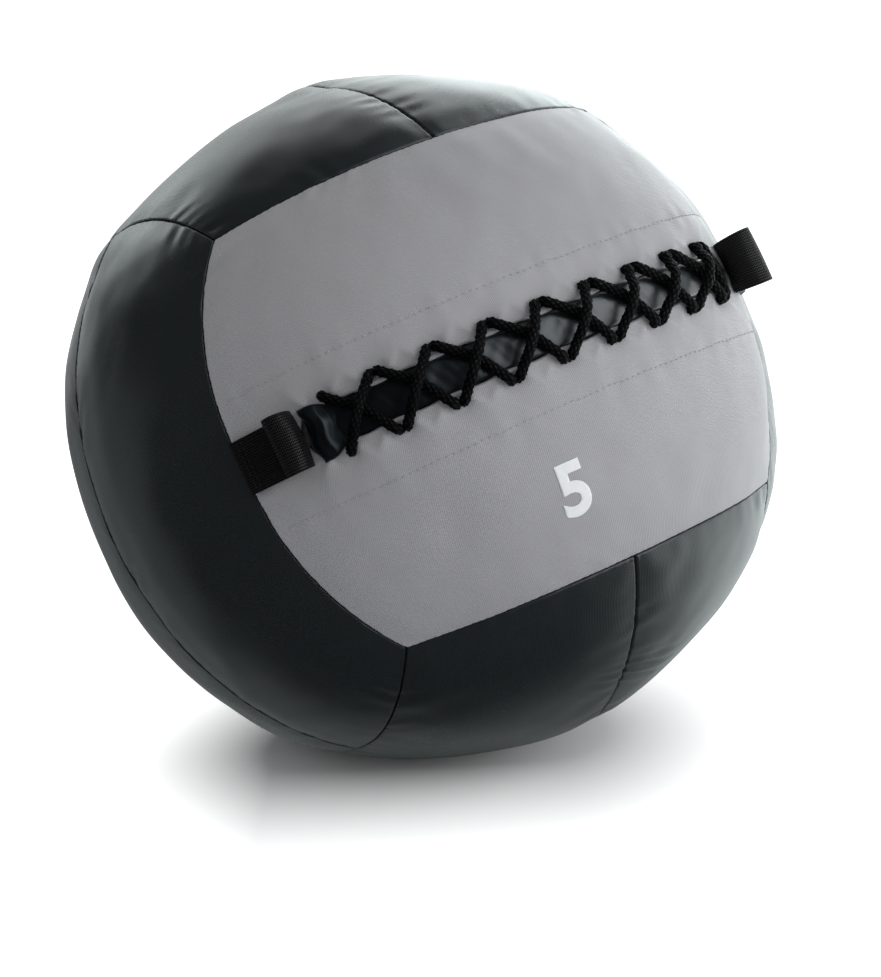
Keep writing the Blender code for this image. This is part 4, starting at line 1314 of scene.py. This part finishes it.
def strand(start, end, over, radius, bow=0.0):
    """One stretch of lace from hole to hole, which bends out, crosses the slit and bends in."""
    span = np.linalg.norm(end - start)
    rest = radius + FIT_GAP
    crest = 2 * radius + LACE_CROSSING_GAP if over else 0.0
    gone = LACE_BEND + (span - 2 * LACE_BEND) * np.arange(1, STRAND_STEPS)[:, None] / STRAND_STEPS
    share = gone / span
    swing = np.clip((np.abs(gone - span / 2) - LACE_HUMP_FLAT) / LACE_HUMP_REACH, 0.0, 1.0)
    hump = crest * np.cos(swing * math.pi / 2) ** 2
    sideways = np.abs(end - start)[::-1] / span * bow * np.sin(math.pi * share) ** 2
    middle = np.hstack([start + (end - start) * share + sideways, rest + hump])
    out, back = (bend(*ends, rest - LACE_BEND, LACE_BEND, BEND_STEPS, quarter=True)
                 for ends in ((start, end), (end, start)))
    return np.vstack([out, middle, back[::-1]])


def lace_route(radius):
    """The cord's line: down both sides of the slit from its right end, crossing each time."""
    half = radius - LACE_SQUEEZE
    places = lace_places()
    under = FACING_UNDERSIDE - LACE_UNDER_ROOM
    last = LACE_PAIRS - 1

    def hole(index, side, offset):
        shift = LACE_LOWER_SHIFT if side < 0 else 0.0
        return np.array((places[index] + offset + shift, side * LACE_ROW))

    def half_route(side):
        parts = []
        for index in range(last, 0, -1):
            parts.append(bend(hole(index, side, half), hole(index, side, -half), under, half,
                              UNDER_STEPS, quarter=False))
            parts.append(strand(hole(index, side, -half), hole(index - 1, -side, half), side > 0, radius,
                                0.0 if side > 0 else LACE_BOW))
            side = -side
        return np.vstack([*parts, tail(*hole(0, side, half))])

    def tail(along, across):
        """The cord's end turns down behind the facing and lies along it."""
        angle = math.pi / 2 * np.arange(BEND_STEPS + 1) / BEND_STEPS
        straight = LACE_BEND + LACE_TAIL * np.arange(1, BEND_STEPS + 1) / BEND_STEPS
        run = np.concatenate([LACE_BEND * (1 - np.cos(angle)), straight])
        drop = np.concatenate([LACE_BEND * np.sin(angle), np.full(BEND_STEPS, LACE_BEND)])
        return np.stack([along - run, np.full_like(run, across), under - drop], axis=-1)

    bar = strand(hole(last, -1, half), hole(last, 1, half), False, radius)
    return np.vstack([half_route(-1)[::-1], bar, half_route(1)])


def evened(points, spacing):
    """The same line with points this far apart, its corners eased."""
    lengths = np.linalg.norm(np.diff(points, axis=0), axis=1)
    points = points[np.concatenate([[True], lengths > 1e-5])]
    travel = travelled(points)
    line = read_line(points, travel, np.linspace(0.0, travel[-1], int(travel[-1] / spacing)))
    for _ in range(LACE_EASING_ROUNDS):
        line[1:-1] = line[1:-1] * 0.5 + (line[:-2] + line[2:]) * 0.25
    return line


def carried_frames(line):
    """A pair of directions square to a line at each point, carried along without twisting."""
    heading = unit(np.gradient(line, axis=0))
    sides = [unit(np.cross(heading[0], (0.3, 0.5, 0.8)))]
    for here in heading[1:]:
        sides.append(unit(sides[-1] - here * (sides[-1] @ here)))
    sides = np.array(sides)
    return sides, np.cross(heading, sides)


class MakeLace(bpy.types.Operator):
    """Makes the braided lace"""
    bl_idname = "wall_ball.make_lace"
    bl_label = "Lace"

    def execute(self, context):
        lace = context.scene.wall_ball_lace
        line = evened(slit_points(*lace_route(lace.diameter / 2).T), lace.step)
        side, rise = carried_frames(line)
        rings = np.arange(len(line), dtype=float)
        mesh = new_mesh("lace", share_grid(rings, np.linspace(0.0, 1.0, lace.sides + 1)))
        ring, around = read(mesh, "column", "row")
        index = np.round(ring).astype(int)
        travel = index * lace.step
        crown = self.braid(travel, around, lace)
        radius = lace.diameter / 2 * (0.76 + 0.34 * crown)
        angle = TURN * around
        places = (line[index] + side[index] * (np.cos(angle) * radius)[:, None]
                  + rise[index] * (np.sin(angle) * radius)[:, None])
        set_places(mesh, places)
        # The braid's height goes in as the third value; the lace's material paints shade and highlight from
        # it.
        keep_cloth(mesh, travel, around * lace.diameter * math.pi, crown)
        self.close(mesh)
        look = cord_material("lace_look", lace.colour)
        add_piece("braided_lace", mesh, look, "ball", "lace", sharp=None)
        return {"FINISHED"}

    def close(self, mesh):
        """Joins the rolled grid's long edges and caps its ends."""
        tube = bmesh.new()
        tube.from_mesh(mesh)
        bmesh.ops.remove_doubles(tube, verts=tube.verts, dist=LACE_WELD)
        bmesh.ops.holes_fill(tube, edges=[edge for edge in tube.edges if edge.is_boundary])
        bmesh.ops.recalc_face_normals(tube, faces=tube.faces)
        tube.to_mesh(mesh)
        tube.free()

    def braid(self, travel, around, lace):
        """Height of the strands on top, from 0 to 1."""
        lay = lace.diameter * 0.80
        first = around * lace.strands + travel / lay
        second = around * lace.strands - travel / lay
        on_top = (np.floor(first) + np.floor(second)) % 2 == 0
        strand_share = np.where(on_top, first % 1.0, second % 1.0)
        run_share = np.where(on_top, second % 1.0, first % 1.0)
        return np.sin(math.pi * strand_share) ** 0.8 * np.sin(math.pi * run_share) ** 0.6


# The webbing

def loop_profile(flat, cells=72, flat_cells=22):
    """The doubled strap seen from its edge: distance from the sewn end, and height over the skin."""
    low = FIT_GAP + WEB_WALL / 2
    high = low + WEB_WALL + FIT_GAP
    half_width = (WEB_LOOP_WIDTH - WEB_WALL) / 2
    half_height = (WEB_LOOP_HEIGHT - WEB_WALL) / 2
    centre = low + half_height
    meeting = math.asin((high - centre) / half_height)
    turn = TURN - (math.pi / 2 - abs(meeting))
    angle = -math.pi / 2 + turn * np.arange(cells + 1) / cells
    loop = np.stack([flat + half_width * np.cos(angle), centre + half_height * np.sin(angle)], axis=-1)
    shares = np.arange(flat_cells) / flat_cells
    under = np.stack([flat * shares, np.full(flat_cells, low)], axis=-1)
    over = np.stack([loop[-1, 0] * shares[::-1], np.full(flat_cells, high)], axis=-1)
    return np.concatenate([under, loop, over])


class MakeWebbing(bpy.types.Operator):
    """Makes the two webbing loops and their stitches"""
    bl_idname = "wall_ball.make_webbing"
    bl_label = "Webbing loops"

    def execute(self, context):
        trim = context.scene.wall_ball_trim
        look = webbing_material("webbing_look", trim.webbing, trim.rib)
        thread = thread_material("webbing_thread_look", (0.012, 0.012, 0.013))
        for name, place in WEB_LOOP_PLACES.items():
            self.add_loop(name, place, look, thread)
        return {"FINISHED"}

    def add_loop(self, name, loop_place, look, thread):
        side = math.copysign(1.0, loop_place)
        root = SEAM_HALF_LENGTH - WEB_ROOT_MARGIN
        flat = root - abs(loop_place)
        profile = loop_profile(flat)
        stations = np.arange(len(profile), dtype=float)
        mesh = new_mesh(name, share_grid(stations, np.linspace(-1.0, 1.0, 25)))
        station, width_share = read(mesh, "column", "row")
        index = np.round(station).astype(int)
        distance, height = profile[index].T
        across = width_share * WEB_WIDTH / 2
        outer = smooth_step((distance - flat) / (WEB_LOOP_WIDTH / 2))
        bulge = WEB_BULGE * (1.0 - width_share ** 2) * outer
        lean = WEB_LEANS[name] * np.maximum(height - WEB_LEAN_FROM, 0.0)
        set_places(mesh, slit_points(side * (root - distance - bulge + lean), across, height))
        keep_cloth(mesh, travelled(profile)[index], across)
        body = name.replace("_webbing", "")
        piece = add_piece(name.replace("_loop", "_strap"), mesh, look, body, name, 70.0)
        add_wall(piece, WEB_WALL, offset=0.0)
        top = FIT_GAP * 2 + 2 * WEB_WALL + WEB_THREAD_LIFT
        reach = WEB_WIDTH / 2 - WEB_STITCH_MARGIN
        stops = np.arange(-reach, reach, WEB_STITCH_PITCH)
        starts, ends = [], []
        for place in (*WEB_STITCH_ROWS, flat - WEB_LOOP_WIDTH * WEB_LAST_ROW_SHARE):
            starts.append(slit_points(side * (root - place), stops, top))
            ends.append(slit_points(side * (root - place), stops + WEB_STITCH_LENGTH, top))
        stitches = name.replace("_loop", "_stitches")
        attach(add_stitches(stitches, np.concatenate(starts), np.concatenate(ends), thread), body)


# The filling

class MakeFilling(bpy.types.Operator):
    """Makes the pieces inside the skin from their solids, with the softness of cloth and fibre"""
    bl_idname = "wall_ball.make_filling"
    bl_label = "Filling"

    def execute(self, context):
        cloth = plain_cloth("liner_look", (0.55, 0.55, 0.53), 0.0012, 0.80)
        fibre = plain_cloth("fibre_look", (0.75, 0.73, 0.68), 0.0030, 0.95)
        canvas = plain_cloth("canvas_look", (0.45, 0.41, 0.33), 0.0010, 0.85)
        facing = vinyl("facing_look", context.scene.wall_ball_skin.black, 0.40)
        for place in ("upper", "lower"):
            self.soften(f"{place}_slit_facing", f"{place}_facing", facing, "black_vinyl", 0.00003)
        self.soften("liner_bag", "filling_bag", cloth, "liner_cloth", 0.00012)
        for side in ("front", "rear"):
            half = self.soften(f"{side}_padding", f"{side}_fibre", fibre, "fibre_padding", 0.00012)
        bag = self.soften("weight_bag", "sand_bag", canvas, "weight_bag_canvas", 0.00010)
        sand = sand_material("sand_look")
        for slot in frame["nodes"]["sand_fill"].material_slots:
            slot.material = sand
        return {"FINISHED"}

    def soften(self, node, name, material, slot, rise):
        """A finer copy of a solid that follows the settled skin, its surface uneven as cloth or fibre is."""
        work = bmesh.new()
        work.from_mesh(frame["nodes"][node].data)
        bmesh.ops.remove_doubles(work, verts=work.verts, dist=COPY_WELD)
        long_edges = [edge for edge in work.edges if edge.calc_length() > COPY_LONGEST_EDGE]
        bmesh.ops.subdivide_edges(work, edges=long_edges, cuts=2, use_grid_fill=True)
        bmesh.ops.recalc_face_normals(work, faces=work.faces)
        work.normal_update()
        mesh = new_mesh(name, work)
        places, normals = vectors(mesh.vertices), vectors(mesh.vertex_normals, "vector")
        arms = places - BALL_CENTRE
        depth = np.linalg.norm(arms, axis=1)
        levels = arms / depth[:, None]
        share = np.minimum(depth / (BALL_RADIUS - SETTLED_DEPTH), 1.0) ** 4
        places += levels * (settled_height(levels) * share)[:, None]
        set_places(mesh, places + normals * (rise * lumps(places, *COPY_LUMPS))[:, None])
        return add_piece(name, mesh, material, "ball", node, 40.0)


# The stage

def camera_axes():
    """The camera's right, up and back."""
    azimuth, elevation = CAMERA_AZIMUTH, CAMERA_ELEVATION
    right = Vector((math.cos(azimuth), math.sin(azimuth), 0.0))
    back = Vector((math.sin(azimuth) * math.cos(elevation), -math.cos(azimuth) * math.cos(elevation),
                   math.sin(elevation)))
    return right, back.cross(right), back


def floor_axes():
    """Level directions to the camera's right and towards the camera."""
    right, _, back = camera_axes()
    return right, Vector((back.x, back.y, 0.0)).normalized()


class MakeStage(bpy.types.Operator):
    """Makes the floor, the lamps, the world and the camera"""
    bl_idname = "wall_ball.make_stage"
    bl_label = "Stage"

    def execute(self, context):
        studio = context.scene.wall_ball_studio
        self.add_floor(studio)
        self.add_world(studio)
        for name, (over, high, near, size) in LAMPS.items():
            self.add_lamp(f"{name}_lamp", over, high, near, size, getattr(studio, name))
        camera = bpy.data.cameras.new("camera")
        camera.lens = CAMERA_LENS
        camera.sensor_width = CAMERA_SENSOR
        holder = linked("camera", camera)
        right, up, back = camera_axes()
        place = Vector(BALL_CENTRE) + back * CAMERA_DISTANCE + right * CAMERA_SIDE + up * CAMERA_LIFT
        holder.matrix_world = Matrix.Translation(place) @ Matrix((right, up, back)).transposed().to_4x4()
        context.scene.camera = holder
        context.scene.view_settings.view_transform = "Standard"
        return {"FINISHED"}

    def add_lamp(self, name, over, high, near, size, power):
        right, level = floor_axes()
        light = bpy.data.lights.new(name, "AREA")
        light.shape = "DISK"
        light.size = size
        light.energy = power
        lamp = linked(name, light)
        offset = right * over + Vector((0.0, 0.0, high)) + level * near
        lamp.location = Vector(BALL_CENTRE) + offset
        lamp.rotation_mode = "QUATERNION"
        lamp.rotation_quaternion = (-offset).to_track_quat("-Z", "Y")

    def add_floor(self, studio):
        work = bmesh.new()
        bmesh.ops.create_grid(work, x_segments=8, y_segments=8, size=FLOOR_SIZE)
        bmesh.ops.translate(work, verts=work.verts, vec=(0.0, 0.0, -FLOOR_DROP))
        floor = linked("floor", new_mesh("floor", work))
        paint = Paint("floor_look")
        speck = paint.noise(60.0, 3.0)
        paint.set(Base_Color=paint.mix(speck, scaled(studio.floor, 0.99), scaled(studio.floor, 1.01)),
                  Roughness=0.75, Specular_IOR_Level=0.25)
        seen, mirrored = paint.rays()
        # Painted light round the shadow: to the camera the floor glows white, except near the ball.
        white = paint.glow((1.0, 1.0, 1.0), seen * self.glow_round_shadow(paint))
        surface = Signal(paint, paint.tree.nodes["Principled BSDF"].outputs[0])
        both = paint.node("ShaderNodeAddShader", {}, {0: surface, 1: white}).out()
        in_gloss = paint.glow(GLOSS_TINT, self.mirrored_floor(paint))
        shown = paint.node("ShaderNodeMixShader", {}, {0: mirrored, 1: both, 2: in_gloss}).out()
        paint.set("Material Output", Surface=shown)
        floor.data.materials.append(paint.look)

    def glow_round_shadow(self, paint):
        """Strength that makes the floor white to the camera, rising from the ball outwards. The glow stays
        low in a lopsided patch round the ball's foot, so the shadow's outline there is a painted shadow edge
        round the real shadow.
        """
        right, level = floor_axes()
        here = paint.place()
        over = paint.toward(here, right) - 0.066
        near = paint.toward(here, level) - 0.012
        left = (over * -1.0).held()
        # These terms set the lopsided patch round the foot where the glow stays low, which paints the
        # shadow's edge.
        away = (over * over - left * left * 0.95 + near * near * 0.60 + over * near * 0.24) ** 0.5
        away = away + (over * -1.0 - 0.14).held() * 1.27
        return ((away - 0.028) * 11.0).held() * 0.80

    def mirrored_floor(self, paint):
        """The floor's glow in reflections, a painted reflection with no lamp to make it: bright on the right
        and behind, dark in front and left.
        """
        right, level = floor_axes()
        here = paint.place()
        over, near = paint.toward(here, right), paint.toward(here, level)
        # Painted reflection: these made terms, not a lamp, set how bright the floor looks in the ball's
        # gloss.
        glow_right_behind = ((over - near * 1.35) * 2.6 + 0.12).held() * (over * 3.0 + 0.50).held()
        # Painted shadow in reflections: the dim glow in front is left out within 5 cm of the ball's foot.
        clear = (((over * over + near * near) ** 0.5 - 0.050) * 25.0).held()
        under = ((0.135 - near) * 22.0).held() * clear
        beyond = (over * 0.9 - near * 1.2).held()
        far_right = ((over - 0.20) * 5.0).held() * 0.60 + 1.20
        return (glow_right_behind * far_right).most(under * 0.27).most(beyond * 0.90) + 0.01

    def add_world(self, studio):
        """Even room light. The background is white to the camera, and reflections show a bright far side."""
        paint = Paint("room", "worlds")
        bpy.context.scene.world = paint.look
        seen, mirrored = paint.rays()
        right, up, back = camera_axes()
        heading = paint.place("Generated")
        over, rise, beyond = (paint.toward(heading, axis) for axis in (right, up, -back))
        far_side = ((beyond - 0.50) * 5.4).held()
        lit_side = ((over * 0.6 + rise) * 2.2 + 0.50).held() * 0.9 + 0.1
        right_corner = (over * 5.0 + 0.75).held() * (rise * 4.0 - 0.70).held()
        left_corner = (over * -5.0 - 1.90).held() * (rise * 4.0 - 1.00).held()
        window = (over * 2.5).held() * (rise * 2.5 - 0.50).held()
        corners = right_corner * 2.7 + left_corner * 3.8
        wall = far_side * lit_side * (studio.wall + corners) + window * 1.1 + 0.02
        strength = seen + (1.0 - seen) * (mirrored * wall + (1.0 - mirrored) * studio.room)
        tint = paint.mix(mirrored, (1.0, 1.0, 1.0), GLOSS_TINT)
        paint.set("Background", Color=tint, Strength=strength)


OPERATORS = (MakeSkin, MakeStitching, MakeNumeral, MakeTongue, MakeLace, MakeWebbing, MakeFilling, MakeStage)


class WallBallPanel(bpy.types.Panel):
    """Buttons for the wall ball's pieces"""
    bl_idname = "VIEW3D_PT_wall_ball"
    bl_label = "Wall ball"
    bl_space_type = "VIEW_3D"
    bl_region_type = "UI"
    bl_category = "Wall ball"

    def draw(self, context):
        for operator in OPERATORS:
            self.layout.operator(operator.bl_idname)


GROUPS = {"wall_ball_skin": SkinSettings, "wall_ball_lace": LaceSettings, "wall_ball_trim": TrimSettings,
          "wall_ball_studio": StudioSettings}


def register():
    for cls in (*GROUPS.values(), *OPERATORS, WallBallPanel):
        bpy.utils.register_class(cls)
    for name, group in GROUPS.items():
        setattr(bpy.types.Scene, name, PointerProperty(type=group))


def unregister():
    for name in GROUPS:
        delattr(bpy.types.Scene, name)
    for cls in (WallBallPanel, *reversed(OPERATORS), *reversed(list(GROUPS.values()))):
        bpy.utils.unregister_class(cls)


def main():
    register()
    for operator in OPERATORS:
        family, action = operator.bl_idname.split(".")
        getattr(getattr(bpy.ops, family), action)()


if __name__ == "__main__":
    main()
